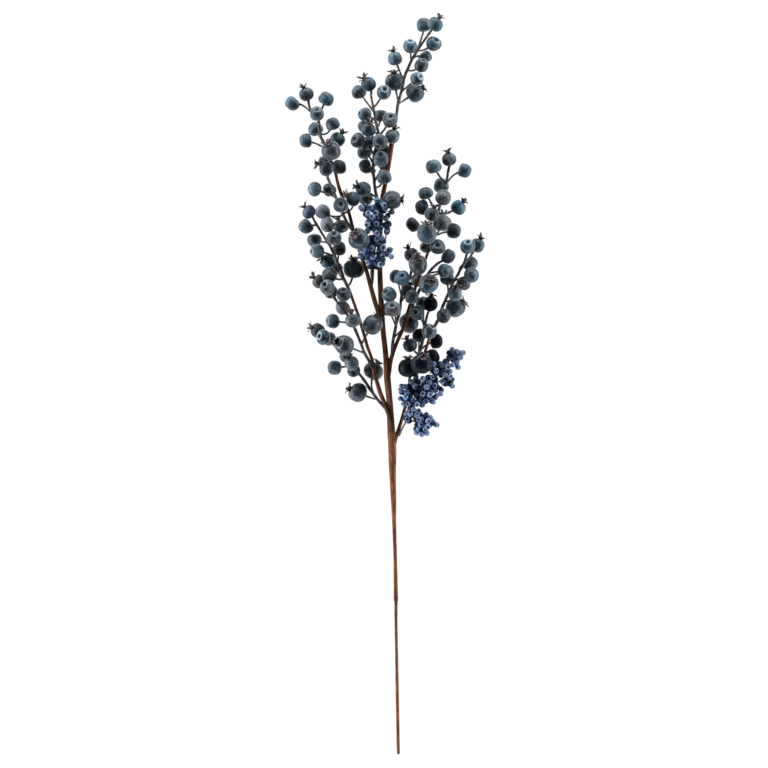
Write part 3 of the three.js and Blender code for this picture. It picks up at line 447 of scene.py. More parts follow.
def place_below(stations, point, share):
    """The place on a line below the station nearest to a point, by a share of the distance between
    the two, and never the line's first station, which stands inside a stem."""
    reach = np.linalg.norm(stations - point, axis=1)
    i = 1 + int(np.argmin(reach[1:]))
    left = reach[i] * share
    while i > 1:
        step = np.linalg.norm(stations[i] - stations[i - 1])
        if step > left:
            return stations[i] + (stations[i - 1] - stations[i]) * left / step
        left -= step
        i -= 1
    return stations[i]


def nearest_across(x, y, line):
    """The place along a line that is nearest to (x, y), seen from above: how far away it is, how
    high, and how thick the line is there."""
    stations, radii = line
    a, along = stations[:-1], np.diff(stations[:, :2], axis=0)
    offset = np.array([x, y]) - a[:, :2]
    share = np.clip((offset * along).sum(1) / (along**2).sum(1), 0, 1)
    across = np.linalg.norm(offset - along * share[:, None], axis=1)
    i = int(np.argmin(across))
    height = a[i, 2] + (stations[i + 1, 2] - a[i, 2]) * share[i]
    return across[i], height, radii[i]


# ------------------------------------------------------------------ settling
# Berries keep their places on the board. Only their heights give way, until none shares room with
# another or with a stem or spine, and none goes below the surface.


class Ball:
    """A berry or seed berry while it settles: its place, its radius, the gap that it keeps and the
    line that carries it, which it may touch."""

    def __init__(self, place, radius, room, carried_by=None):
        self.x, self.y, self.h = place
        self.radius = radius
        self.room = room
        self.carried_by = carried_by

    def centre(self):
        return np.array([self.x, self.y, self.h])


def limit_rule(ball, across, height, radius):
    """What something fixed asks of a ball that is `across` away from it on the board: to stay on its
    own side of it, at least sqrt(room^2 - across^2) above or below its height."""
    room = ball.radius + radius + ball.room
    if across >= room:
        return None
    rise = np.sqrt(room * room - across * across)
    above = ball.h >= height
    return ball, above, height + rise if above else height - rise


def settle(balls, lines, fixed_balls):
    """Moves the balls up and down, round after round. Of two balls that are nearer to each other on
    the board than their room, each takes half of the height that they lack."""
    pairs, limits = [], []
    for i, ball in enumerate(balls):
        for other in balls[i + 1 :]:
            room = ball.radius + other.radius + min(ball.room, other.room)
            across = np.hypot(ball.x - other.x, ball.y - other.y)
            if across < room:
                low, high = (ball, other) if ball.h <= other.h else (other, ball)
                pairs.append((low, high, np.sqrt(room * room - across * across)))
        for line in lines:
            if line is not ball.carried_by:
                limits.append(limit_rule(ball, *nearest_across(ball.x, ball.y, line)))
        for other in fixed_balls:
            across = np.hypot(ball.x - other.x, ball.y - other.y)
            limits.append(limit_rule(ball, across, other.h, other.radius))
    limits = [rule for rule in limits if rule]
    for _ in range(SETTLE_ROUNDS):
        for low, high, rise in pairs:
            short = rise - (high.h - low.h)
            if short > 0:
                low.h -= short / 2
                high.h += short / 2
        for ball, above, limit in limits:
            ball.h = max(ball.h, limit) if above else min(ball.h, limit)
        for ball in balls:
            ball.h = max(ball.h, ball.radius - PRESSED)


def stalk_name(head, i):
    return f"{head}_stalk_{i + 1}"


def wide_line(rows):
    """Rows [x, y, h, width] as a line: its stations and its radii."""
    return on_board(rows), np.array([row[3] for row in rows]) / 2


def lay_out():
    """The lines of every stem, spine and stalk as (stations, radii), and the settled balls."""
    lines = {name: wide_line(rows) for name, rows in STEMS.items()}
    for name, spray in SPRAYS.items():
        rows = spray["spine"]
        lines[name] = (on_board(rows), np.linspace(*SPINE_RADIUS, len(rows)))
    for name, head in SEED_HEADS.items():
        for i, rows in enumerate(head["stalks"]):
            lines[stalk_name(name, i)] = wide_line(rows)
    berries = {}
    for name, spray in SPRAYS.items():
        places = on_board(spray["berries"])
        berries[name] = [
            Ball(place, row[3], CLEARANCE, lines[name] if i == 0 else None)
            for i, (place, row) in enumerate(zip(places, spray["berries"]))
        ]
    all_berries = sum(berries.values(), [])
    settle(all_berries, list(lines.values()), [])
    seeds = {}
    for name, head in SEED_HEADS.items():
        seeds[name] = []
        stalks = [lines[stalk_name(name, k)] for k in range(len(head["stalks"]))]
        for i, place in enumerate(on_board([[*seed, 0] for seed in head["seeds"]])):
            ball = Ball(place, head["radius"], SEED_CLEARANCE)
            ball.carried_by = min(stalks, key=lambda stalk: nearest_across(ball.x, ball.y, stalk)[0])
            height = nearest_across(ball.x, ball.y, ball.carried_by)[1]
            ball.h = height + SEED_HEIGHTS[i % len(SEED_HEIGHTS)]
            seeds[name].append(ball)
    settle(sum(seeds.values(), []), list(lines.values()), all_berries)
    return lines, berries, seeds


# ------------------------------------------------------------------ surfaces

PLAIN_TONE = (0.5, 0.5, 0.5)
FIRST_SIDE = np.array([0.31, 0.17, 0.94])  # a direction that no path here starts along
STEEP = 0.9  # an axis is steep where this much of it is height
TUBE_DOME = 0.3  # how far a tube's ends bulge, in its radii


class Skin:
    """One piece's surface, gathered from closed shapes that are each a foot point, a stack of rings
    and a head point. The materials read a point's marks, which are four numbers, its tone, which is
    its shape's own colour, and its spot, the place that a berry's patches are drawn at."""

    def __init__(self):
        self.points, self.marks, self.tones, self.spots = [], [], [], []
        self.quads, self.tris, self.count = [], [], 0

    def add(self, foot, rings, head, marks=None, tone=PLAIN_TONE, spots=None):
        """rings is (rings, sides, 3). Faces join each ring to the next, and the end rings to the
        foot and head points, anticlockwise seen from outside."""
        n, m = rings.shape[:2]
        grid = self.count + 1 + np.arange(n * m).reshape(n, m)
        after = np.roll(grid, -1, axis=1)
        quads = np.stack([grid[:-1], after[:-1], after[1:], grid[1:]], axis=-1).reshape(-1, 4)
        foot_at, head_at = self.count, self.count + 1 + n * m
        low = np.stack([np.full(m, foot_at), after[0], grid[0]], axis=-1)
        high = np.stack([np.full(m, head_at), grid[-1], after[-1]], axis=-1)
        self.points.append(np.vstack([foot, rings.reshape(-1, 3), head]))
        if marks is None:
            marks = np.zeros((n, m, 4))
        self.marks.append(np.vstack([marks[0].mean(0), marks.reshape(-1, 4), marks[-1].mean(0)]))
        self.tones.append(np.tile(tone, (n * m + 2, 1)))
        self.spots.append(np.zeros((n * m + 2, 3)) if spots is None else spots)
        self.quads.append(quads)
        self.tris += [low, high]
        self.count += n * m + 2

    def build(self, name, material, node, slot):
        """Makes the piece, which stands for a node, with the material it is given; the slot is not
        used. What would go below the surface is pressed flat."""
        points = np.vstack(self.points)
        points[:, 2] = np.maximum(points[:, 2], 0)
        quads, tris = np.vstack(self.quads), np.vstack(self.tris)
        mesh = bpy.data.meshes.new(name)
        mesh.vertices.add(len(points))
        mesh.vertices.foreach_set("co", (points * MM).ravel())
        corners = np.concatenate([quads.ravel(), tris.ravel()]).astype(np.int32)
        sizes = np.concatenate([np.full(len(quads), 4), np.full(len(tris), 3)]).astype(np.int32)
        mesh.loops.add(len(corners))
        mesh.loops.foreach_set("vertex_index", corners)
        mesh.polygons.add(len(sizes))
        starts = np.concatenate([[0], np.cumsum(sizes)[:-1]]).astype(np.int32)
        mesh.polygons.foreach_set("loop_start", starts)
        mesh.polygons.foreach_set("loop_total", sizes)
        mesh.polygons.foreach_set("use_smooth", np.ones(len(sizes), bool))
        mesh.update(calc_edges=True)
        mesh.validate()
        solid = np.ones((len(points), 1))  # the fourth number of a tone or a spot
        for label, values in (("mark", self.marks), ("tone", self.tones), ("spot", self.spots)):
            layer = mesh.color_attributes.new(name=label, type="FLOAT_COLOR", domain="POINT")
            layer.data.foreach_set("color", np.hstack([np.vstack(values), solid])[:, :4].ravel())
        mesh.materials.append(material)
        piece = bpy.data.objects.new(name, mesh)
        bpy.context.scene.collection.objects.link(piece)
        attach(piece, "root")
        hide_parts(node)


def ring_points(out, up, turn):
    """Points at a distance out from the axis and up along it, at each turn round it."""
    return np.stack([out * np.cos(turn), out * np.sin(turn), up], axis=-1)


def frames_along(path):
    """Two directions across a path at each station, carried along it without twist: each takes the
    last one's direction less its part along the path."""
    ahead = unit(np.gradient(path, axis=0))
    side = np.zeros_like(path)
    last = FIRST_SIDE
    for i, direction in enumerate(ahead):
        last = unit(last - direction * (last @ direction))
        side[i] = last
    return side, np.cross(ahead, side)


def tube_rings(path, radii, sides, relief=None):
    """Rings round a path. A point at turn a stands off the path by
    radius * (1 + relief) * (side cos a + across sin a)."""
    side, across = frames_along(path)
    turn = turns(sides)
    reach = np.repeat(radii[:, None], sides, axis=1)
    if relief is not None:
        reach = reach * (1 + relief(turn[None, :]))
    return path[:, None] + reach[..., None] * (
        side[:, None] * np.cos(turn)[None, :, None] + across[:, None] * np.sin(turn)[None, :, None]
    )


def add_tube(skin, path, radii, sides, relief=None, marks=None):
    """A closed tube along a path, with low domes on its ends."""
    rings = tube_rings(path, radii, sides, relief)
    foot = path[0] - unit(path[1] - path[0]) * radii[0] * TUBE_DOME
    head = path[-1] + unit(path[-1] - path[-2]) * radii[-1] * TUBE_DOME
    skin.add(foot, rings, head, marks)


def turned(points, axis, centre):
    """Points about the origin with their axis on +Z, turned to an axis and moved to a centre."""
    helper = np.array([0.0, 0.0, 1.0]) if abs(axis[2]) < STEEP else np.array([0.0, 1.0, 0.0])
    right = unit(np.cross(helper, axis))
    ahead = np.cross(axis, right)
    return centre + points @ np.stack([right, ahead, axis])


# ------------------------------------------------------------------ berries

BERRY_SIDES = 26
BERRY_LATITUDES = np.radians(np.concatenate([np.linspace(-80, 40, 12), np.linspace(48, 86, 9)]))
ROUND_BODY = ((2.05, 2.45), (-0.03, 0.06), (0.88, 0.98))
BODIES = {  # the ranges of how boxy each kind is, how much it tapers and how high it is for its width
    CROWN: ROUND_BODY,
    DIMPLE: ROUND_BODY,
    BARE: ((2.25, 2.65), (0.1, 0.18), (0.84, 0.96)),
}
PITS = {  # in radii, how deep and wide the middle of the far end sinks and how high its rim stands
    CROWN: (0.12, 0.3, 0.02),
    DIMPLE: (0.26, 0.26, 0.05),
    BARE: (0.06, 0.3, 0.0),
}
PIT_SPREAD = (0.8, 1.25)
OPEN_PIT = 1.3  # a black pit against a plain one
# The pit in the middle of a far end is painted dark as its shade; these say how dark.
BLACK_PIT, SOFT_PIT = 1.0, 0.5  # how dark the middle of a far end is
RIM_AT, RIM_WIDTH = 1.8, 0.14  # from the axis in pit widths, and across in radii
DENT_DEPTH, DENT_WIDTH = 0.07, 0.22  # at the stalk end
# At most, how much one, two and three lobes swell a berry, and how much its far end slopes.
UNEVENNESS = (0.03, 0.06, 0.045, 0.11)
LEAST_UNEVEN = 0.3  # the least, as a share of the most
SPOT_SCATTER = 40  # how far apart berries take their patches from, in radii
DULL_GLOSS = 0.5  # the most on a berry that isn't polished
BLACK_PAINT, BLACK_GLOSS = "k", 0.4  # how much more of it the black ones have


def signed_power(values, power):
    return np.sign(values) * np.abs(values) ** power


def berry_surface(radius, end, gloss, pit_shade, rng):
    """A berry about the origin, its far end at +Z. At latitude a and turn t the point stands
    cos(a)^(2/p) * (1 - taper sin a) * (1 + lobes(t)) out and squash * sin(a)^(2/p) up, in radii:
    p above 2 makes it boxier than a ball, and the lobes add up strength * cos(k t + phase) for k
    from 1 to 3. A bell curve of the distance from the axis sinks the pit of the far end, a narrower
    one lifts its rim, and a third dents the stalk end. The far end slopes towards one side. A berry
    with a black pit has it wide open. Marks: how far out, how far up, the gloss and how dark the
    painted shade in the pit is."""
    boxy, taper, squash = (rng.uniform(*ends) for ends in BODIES[end])
    lat, turn = BERRY_LATITUDES[:, None], turns(BERRY_SIDES)
    round_turn = np.ones_like(turn)
    out = np.cos(lat) ** (2 / boxy) * round_turn
    up = squash * signed_power(np.sin(lat), 2 / boxy) * round_turn
    phase = rng.uniform(0, 2 * np.pi, 4)
    strength = rng.uniform(LEAST_UNEVEN, 1, 4) * UNEVENNESS
    lobes = sum(strength[k] * np.cos((k + 1) * turn + phase[k]) for k in range(3))
    opened = OPEN_PIT if pit_shade == BLACK_PIT else 1
    pit, width, rim = np.array(PITS[end]) * rng.uniform(*PIT_SPREAD, 3) * opened
    far = up > 0
    up = up - far * pit * np.exp(-((out / width) ** 2))
    up = up + far * rim * np.exp(-(((out - RIM_AT * width) / RIM_WIDTH) ** 2))
    up = up + ~far * DENT_DEPTH * np.exp(-((out / DENT_WIDTH) ** 2))
    up = up + far * strength[3] * out * np.cos(turn + phase[3])
    reach = out * (1 + lobes) * (1 - taper * np.sin(lat))
    height = (np.sin(lat) + 1) / 2 * round_turn
    marks = np.stack([out, height, np.full_like(out, gloss), np.full_like(out, pit_shade)], axis=-1)
    foot, head = np.array([0, 0, DENT_DEPTH - squash]), np.array([0, 0, squash - pit])
    return foot * radius, ring_points(reach, up, turn) * radius, head * radius, marks


def add_berry(skin, ball, axis, end, letter, gloss, rng):
    """A berry in its coat of paint. Its patches are drawn at a place of their own."""
    *shape, marks = berry_surface(ball.radius * DRESSED, end, gloss, pit_of(letter, end), rng)
    tone = linear(PAINTS[letter.lower()]) * rng.uniform(*PAINT_SPREAD)
    foot, rings, head = (turned(points, axis, ball.centre()) for points in shape)
    spots = np.vstack([points.reshape(-1, 3) for points in shape]) / ball.radius
    skin.add(foot, rings, head, marks, tone, spots + rng.uniform(-SPOT_SCATTER, SPOT_SCATTER, 3))


def pit_of(letter, end):
    """How dark the painted shade in the middle of a far end is, from its letter in TONES and its kind."""
    return BLACK_PIT if letter.isupper() else SOFT_PIT if end == DIMPLE else 0


# ------------------------------------------------------------------ crowns

# A cup's profile up its outer wall, over the rim and down to its floor: how far out in cup widths,
# how far up in millimetres from the berry's end, and how dark its painted shade is.
CUP_PROFILE = np.array([
    [1.15, -1.5, 0], [1, -0.5, 0], [0.95, 0.4, 0], [1, 1.1, 0],
    [0.84, 1.2, 0.6], [0.7, 0.75, 1], [0.35, 0.5, 1],
])
CUP_FOOT, CUP_FLOOR = -1.8, 0.45
CUP_SIDES = 14
# A crown's cup width, the fewest teeth of a row and one more than the most, and how far its teeth
# lift and how thick they are.
COMMON_CROWN = (2.0, (5, 7), 1.0, 0.5)
LARGE_CROWN = (2.9, (7, 9), 0.6, 0.8)
OPEN_CUP = 4.0  # how wide a cup with a black pit is
OPEN_CUP_TEETH = 0.4  # the size of the teeth round it
INNER_TEETH = 0.62  # the same for the inner row of the others
FEWER_INNER = 2  # how many teeth fewer the inner row has
ROW_TURN = 0.3  # how far it is turned from the outer row, in radians
TOOTH_SHIFT = 0.2  # how far a tooth may stand from its even place, in gaps
SEPAL_STATIONS = 9
SEPAL_OUT = (3.4, 5.3)  # how far a tooth reaches outwards from the cup, and up from it
SEPAL_LIFT = (3.6, 6.4)
SEPAL_CURL = (0.0, 0.7)
SEPAL_SWING = (-0.6, 0.6)  # how far its tip turns aside round the axis, in radians
SEPAL_FOOT = 0.5  # how far over the berry's end it starts
OUTER_START, INNER_START = 0.92, 0.45  # where it starts, in cup widths from the axis
INNER_OUT = 0.35  # how far an inner one reaches against an outer one
SEPAL_ROOT, SEPAL_TAPER = 0.6, 0.35
SEPAL_BROAD = (0.9, 1.35)
SMALL_BROAD = 1.6  # a small tooth keeps this many times its size of the full breadth, or all of it
SEPAL_THINNING = 0.6  # how much of its thickness it loses towards its tip
SEPAL_TAILS = (0.3, 0.35)  # how far its closing points stand off its first and last section
# A sepal's crescent section: across it, in half widths, and through it, in thicknesses.
SEPAL_SECTION = np.array([[1, 0.6], [0.5, -0.3], [0, -0.5], [-0.5, -0.3], [-1, 0.6], [0, 0.7]])


def crown_cup(radius, wide):
    """The calyx's low ring: its profile carried round the berry's axis."""
    out, up, hollow = CUP_PROFILE.T[:, :, None] * np.ones(CUP_SIDES)
    top = BERRY_SQUASH * radius
    rings = ring_points(out * wide, top + up, turns(CUP_SIDES))
    marks = np.zeros((*rings.shape[:2], 4))
    # How much of the hollow's painted shade each ring takes.
    marks[..., 2] = hollow
    return np.array([0, 0, top + CUP_FOOT]), rings, np.array([0, 0, top + CUP_FLOOR]), marks


def sepal(radius, wide, turn, size, inner, rng):
    """One pointed tooth of the crown: a leaf with a crescent section that swells and then narrows
    to a point, on a path that starts at the cup's rim, goes up and bends out. Along its length s
    the path stands start + out * s^1.2 from the axis and lift * (s - curl * s^3) up, and its half
    width is root + broad * sin(pi s^1.15) - taper * s. Inner ones are small and stand steeper, and
    those of a large berry lie lower. Marks: how near its edge, how far along, no hollow, and
    whether the berry is a large one."""
    _, _, lift_share, thickness = LARGE_CROWN if radius >= LARGE_BERRY else COMMON_CROWN
    s = np.linspace(0, 1, SEPAL_STATIONS)
    out = size * rng.uniform(*SEPAL_OUT) * (INNER_OUT if inner else 1)
    lift = size * rng.uniform(*SEPAL_LIFT) * lift_share
    curl = rng.uniform(*SEPAL_CURL)
    swing = rng.uniform(*SEPAL_SWING)
    reach = (INNER_START if inner else OUTER_START) * wide + out * s**1.2
    height = BERRY_SQUASH * radius + SEPAL_FOOT + lift * (s - curl * s**3)
    angle = turn + swing * s**2
    path = ring_points(reach, height, angle)
    ahead = unit(np.gradient(path, axis=0))
    across = np.stack([-np.sin(angle), np.cos(angle), np.zeros_like(angle)], axis=-1)
    normal = np.cross(ahead, across)
    broad = min(1, SMALL_BROAD * size) * rng.uniform(*SEPAL_BROAD)
    half = SEPAL_ROOT + broad * np.sin(np.pi * s**1.15) - SEPAL_TAPER * s
    thick = thickness * (1 - SEPAL_THINNING * s)
    rings = (
        path[:, None]
        + across[:, None] * (half[:, None] * SEPAL_SECTION[None, :, 0])[..., None]
        + normal[:, None] * (thick[:, None] * SEPAL_SECTION[None, :, 1])[..., None]
    )
    marks = np.zeros((*rings.shape[:2], 4))
    marks[..., 0] = np.abs(SEPAL_SECTION[:, 0])
    marks[..., 1] = s[:, None]
    marks[..., 3] = radius >= LARGE_BERRY
    foot = path[0] - ahead[0] * SEPAL_TAILS[0]
    head = path[-1] + ahead[-1] * SEPAL_TAILS[1]
    return foot, rings, head, marks


def crown_shapes(radius, open_cup, rng):
    """The cup, an outer row of teeth and an inner row of smaller ones. A large berry's crown is
    wider, with more teeth. An open cup is wider still, and has the outer row only."""
    wide, teeth, _, _ = LARGE_CROWN if radius >= LARGE_BERRY else COMMON_CROWN
    if open_cup:
        wide = OPEN_CUP
    outer = int(rng.integers(*teeth))
    start = rng.uniform(0, 2 * np.pi)
    shapes = [crown_cup(radius, wide)]
    for row, count in enumerate((outer,) if open_cup else (outer, outer - FEWER_INNER)):
        size = INNER_TEETH if row else OPEN_CUP_TEETH if open_cup else 1.0
        for k in range(count):
            place = k + rng.uniform(-TOOTH_SHIFT, TOOTH_SHIFT)
            turn = start + ROW_TURN * row + 2 * np.pi * place / count
            shapes.append(sepal(radius, wide, turn, size, row == 1, rng))
    return shapes


def add_crown(skin, ball, axis, open_cup, dusty, rng):
    """A berry's crown. If it isn't to be dusty, its marks say that its berry isn't a large one."""
    for *shape, marks in crown_shapes(ball.radius, open_cup, rng):
        foot, rings, head = (turned(points, axis, ball.centre()) for points in shape)
        skin.add(foot, rings, head, marks * (1, 1, 1, dusty))


# ------------------------------------------------------------------ twigs and sprays

TWIG_STATIONS, TWIG_SIDES = 14, 8
SPINE_STEP, SPINE_SIDES = 1.2, 10
# How much thicker a twig is at its root and at its berry, and over which share of its length.
ROOT_FLARE, BERRY_FLARE = (0.45, 0.08), (0.35, 0.1)
KNUCKLE_HEIGHT = 0.12  # of the bumps on a twig, in its radii
KNUCKLE_STATIONS = 3  # from one bump to the next
KNUCKLE_LEAN = 0.6  # how much higher they are on one side


def twig_path(root, centre, axis, radius):
    """A curve from the spine to the berry, which it enters between the berry's own axis and the
    straight line from its root."""
    aim = unit(axis * (1 - TWIG_YIELD) + unit(centre - root) * TWIG_YIELD)
    lead = centre - aim * (1 + TWIG_LEAD) * radius
    return bezier(root, lead, centre - aim * TWIG_SUNK * radius, TWIG_STATIONS)


def twig_relief(count, rng):
    """Bumps on a moulded twig: slow random waves along it, stronger on one side than the other."""
    knots = np.arange(0, count + KNUCKLE_STATIONS, KNUCKLE_STATIONS)
    wave = np.interp(np.arange(count), knots, rng.uniform(-1, 1, len(knots)))
    turn_at = rng.uniform(0, 2 * np.pi)
    return lambda turn: KNUCKLE_HEIGHT * wave[:, None] * (1 + KNUCKLE_LEAN * np.cos(turn - turn_at))


def add_twig(skin, root, ball, axis, rng):
    """A twig to a side berry. At the share t of its length its radius is the twigs' own, times
    1 + a e^(-t / b) + c e^(-(1 - t) / d), where a, b are the root's flare and c, d the berry's."""
    path = twig_path(root, ball.centre(), axis, ball.radius)
    t = np.linspace(0, 1, len(path))
    flares = ROOT_FLARE[0] * np.exp(-t / ROOT_FLARE[1]), BERRY_FLARE[0] * np.exp(-(1 - t) / BERRY_FLARE[1])
    add_tube(skin, path, TWIG_RADIUS * (1 + flares[0] + flares[1]), TWIG_SIDES, twig_relief(len(path), rng))


def add_spine(skin, line, ball, axis, rng):
    """The twig that all others leave: it ends in the spray's first berry."""
    points = np.vstack([line[0], ball.centre() - axis * TWIG_SUNK * ball.radius])
    radii = np.append(line[1], SPINE_RADIUS[1]) * SPINE_FULLNESS
    path, radii, _ = smooth_path(points, radii, SPINE_STEP)
    add_tube(skin, path, radii, SPINE_SIDES, twig_relief(len(path), rng))


def berry_axis(row, root, centre):
    """Where a berry's far end looks: as its row says, or away from its twig's root and down."""
    if len(row) > 5:
        return look_out(row[5], row[6])
    outwards = np.degrees(np.arctan2(centre[1] - root[1], centre[0] - root[0]))
    return look_out(outwards, HIDDEN_TILT)


def build_spray(name, line, balls, materials, rng):
    """A spray's pieces: its berries, its dark clean berries where it has some, its crowns and its
    twigs. A berry's row is [x, y, h, radius], then its end if it isn't bare, then its facing and
    tilt if they show."""
    berries, dark_berries, crowns, twigs = Skin(), Skin(), Skin(), Skin()
    for i, (ball, row, letter) in enumerate(zip(balls, SPRAYS[name]["berries"], TONES[name])):
        root = place_below(line[0], ball.centre(), TWIG_BACK)
        axis = berry_axis(row, root, ball.centre())
        end = row[4] if len(row) > 4 else BARE
        dark = letter in DARK_PAINTS
        polished = i in POLISHED.get(name, ())
        gloss = 1.0 if polished else rng.uniform(0, DULL_GLOSS) + BLACK_GLOSS * (letter == BLACK_PAINT)
        add_berry(dark_berries if dark else berries, ball, axis, end, letter, gloss, rng)
        if end == CROWN:
            add_crown(crowns, ball, axis, letter.isupper(), not dark, rng)
        if i == 0:
            add_spine(twigs, line, ball, axis, rng)
        else:
            add_twig(twigs, root, ball, axis, rng)
    short = name.removeprefix("spray_")
    berries.build(f"berries_{short}", materials["berry"], name, "berry")
    if set(TONES[name]) & set(DARK_PAINTS):
        dark_berries.build(f"dark_berries_{short}", materials["dark berry"], name, "berry")
    crowns.build(f"crowns_{short}", materials["crown"], name, "crown")
    twigs.build(f"twigs_{short}", materials["twig"], name, "twig")


# ------------------------------------------------------------------ seed heads

SEED_PAINT = linear((62, 91, 127))
# Each head's core tone, under the navy patches that paint the shade deep in the head.
CORE_PAINT = {"seed_head_upper": linear((92, 108, 143)), "seed_head_lower": linear((58, 71, 102))}
# A seed berry's profile from its foot to its cup, in its radii: how far out, how far up, how much of
# the painted highlight on its rim and how much of the painted shade in its cup.
SEED_PROFILE = np.array([
    [0.62, -0.8, 0, 0], [0.98, -0.15, 0, 0], [1.0, 0.34, 0, 0],
    [0.86, 0.74, 1, 0], [0.66, 0.82, 0.8, 0.1], [0.4, 0.56, 0, 1],
])
SEED_FOOT, SEED_FLOOR = -1.05, 0.45
SEED_SIDES = 9
# Painted shade: spots in each head where its seed berries lie in shade, their coat darkened round them.
SEED_SHADE = {  # where each head's coat is darkest: [x, y, reach]
    "seed_head_upper": [[377, 239, 6], [381, 213, 5]],
    "seed_head_lower": [[419, 382, 8], [414, 412, 4]],
}
SHADE_DEPTH = 0.6  # how much of the coat's brightness a spot takes off at its middle
SEED_PALENESS = (1.5, 1.0)  # of the coat, at the foot of a head and at its far end
SEED_SWELL = {"seed_head_upper": 1.24, "seed_head_lower": 1.1}  # dressed against their solids
SEED_SIZES = (0.94, 1.06)
SEED_PAINT_SPREAD = (0.8, 1.25)
SEED_LIFT = (0, 0, 0.5)  # how much a seed berry turns up from its stalk
SEED_SCATTER = 0.45  # how far it leans at random
SEED_SUNK = 0.8  # where its stalk ends inside it, in its radii from its centre
CORE_SIZES = (0.9, 1)
CORE_SHARES = (0.25, 0.75)  # where the two cores stand on the way from the stalk to their seed berry
CORE_SCATTER = 1.3
CORE_FLATNESS = (1, 1, 0.5)  # less of the scatter in height
CORE_DEPTH = 2.6  # how far below the seed berry they stand at least
STALK_RADIUS, STALK_SIDES, STALK_STATIONS = 0.42, 6, 6
STALK_SAG = np.array([0, 0, -0.6])
MAIN_STALK_STEP, MAIN_STALK_SIDES = 1.0, 9


def add_seed(seeds, centre, axis, size, tone, chance=0.0):
    """A seed berry is a turned cup: its profile carried round its axis. Marks: the painted highlight on
    the rim, the painted shade in the cup and a number of its own by chance."""
    out, up, rim, cup = SEED_PROFILE.T[:, :, None] * np.ones(SEED_SIDES)
    rings = ring_points(out, up, turns(SEED_SIDES))
    marks = np.stack([rim, cup, np.full_like(up, chance), np.zeros_like(up)], axis=-1)
    foot, rings, head = (
        turned(points * size, axis, centre)
        for points in (np.array([0, 0, SEED_FOOT]), rings, np.array([0, 0, SEED_FLOOR]))
    )
    seeds.add(foot, rings, head, marks, tone)


def shade_at(spots, place):
    """How much of its brightness the coat keeps at a place under the painted shade: each spot
    [x, y, reach] takes some off as a bell curve of the distance to it."""
    away = np.linalg.norm(on_board([[x, y, 0] for x, y, _ in spots])[:, :2] - place[:2], axis=1)
    return np.prod(1 - SHADE_DEPTH * np.exp(-((away / np.array(spots)[:, 2]) ** 2)))


def build_seed_head(name, lines, balls, materials, rng):
    """Seed berries on hair-thin stalks, paler towards the foot of the head and darker in spots of
    painted shade, with two dark ones further in behind each that paint the shade deep in the head."""
    seeds, cores, stalks = Skin(), Skin(), Skin()
    places = np.array([ball.y for ball in balls])
    for ball in balls:
        centre = ball.centre()
        root = place_below(ball.carried_by[0], centre, SEED_BACK)
        axis = unit(centre - root)
        lean = unit(axis + SEED_LIFT + rng.normal(0, SEED_SCATTER, 3))
        size = ball.radius * SEED_SWELL[name] * rng.uniform(*SEED_SIZES)
        pale = np.interp(ball.y, [places.min(), places.max()], SEED_PALENESS)
        # Painted shade in the head's darkest spots.
        pale *= shade_at(SEED_SHADE[name], centre)
        tone = SEED_PAINT * pale * rng.uniform(*SEED_PAINT_SPREAD)
        add_seed(seeds, centre, lean, size, tone, rng.uniform())
        for share in CORE_SHARES:
            inner = root + (centre - root) * share + rng.normal(0, CORE_SCATTER, 3) * CORE_FLATNESS
            inner[2] = min(inner[2], centre[2] - CORE_DEPTH)
            add_seed(cores, inner, lean, size * rng.uniform(*CORE_SIZES), CORE_PAINT[name])
        bend = (root + centre) / 2 + STALK_SAG
        path = bezier(root, bend, centre - axis * SEED_SUNK * size, STALK_STATIONS)
        add_tube(stalks, path, np.full(STALK_STATIONS, STALK_RADIUS), STALK_SIDES)
    for i in range(len(SEED_HEADS[name]["stalks"])):
        path, radii, _ = smooth_path(*lines[stalk_name(name, i)], MAIN_STALK_STEP)
        add_tube(stalks, path, radii, MAIN_STALK_SIDES, twig_relief(len(path), rng))
    short = name.removeprefix("seed_head_")
    seeds.build(f"seeds_{short}", materials["seed"], name, "seed")
    cores.build(f"seed_cores_{short}", materials["core"], name, "seed")
    stalks.build(f"seed_stalks_{short}", materials["twig"], name, "twig")


# ------------------------------------------------------------------ taped stems

# Thin ribs on the stem, painted near black as the shadow where branches leave it.
SHADOW_CREASES = (  # the dark creases where branches leave the stem: [x, y] along each
    [[387.2, 404], [388.2, 409.5], [389.5, 415.5], [391.2, 421.5]],
    [[389.1, 358], [389.2, 364], [389.6, 371.5]],
    [[381.2, 306], [382, 311.5], [382.9, 317.5]],
    [[394.4, 437], [394.1, 442]],
)
SEAM_RADIUS, SEAM_SIDES, SEAM_STEP = 0.5, 6, 1.0  # of a crease
SEAM_END = 0.2  # in radians, where the half wave of a crease's thickness starts and ends
MAIN_SIDES, BRANCH_SIDES, STEM_STEP = 20, 14, 0.4
TAPE_PITCH = 2.0  # from one lap to the next
TAPE_RELIEF = 0.12  # how high a lap stands
TAPE_THICKNESS = 0.15  # what the tape adds to a stem's radius
TAPE_WANDER, WANDER_KNOTS = 0.4, 40  # how many laps the tape strays, and at how many places
LAP_EDGE, LAP_DROP = 0.85, 0.15  # where a lap starts to drop, and over how much of its width
LAP_LEVEL = 0.4  # the height on a lap that keeps the stem's own radius
WIRES = ((0.05, 2, 60), (0.03, 3, -45))  # each wave's height, its count round the stem, its length
BARE_BUNDLE = 1.3  # no wires show on a stem of this radius or less


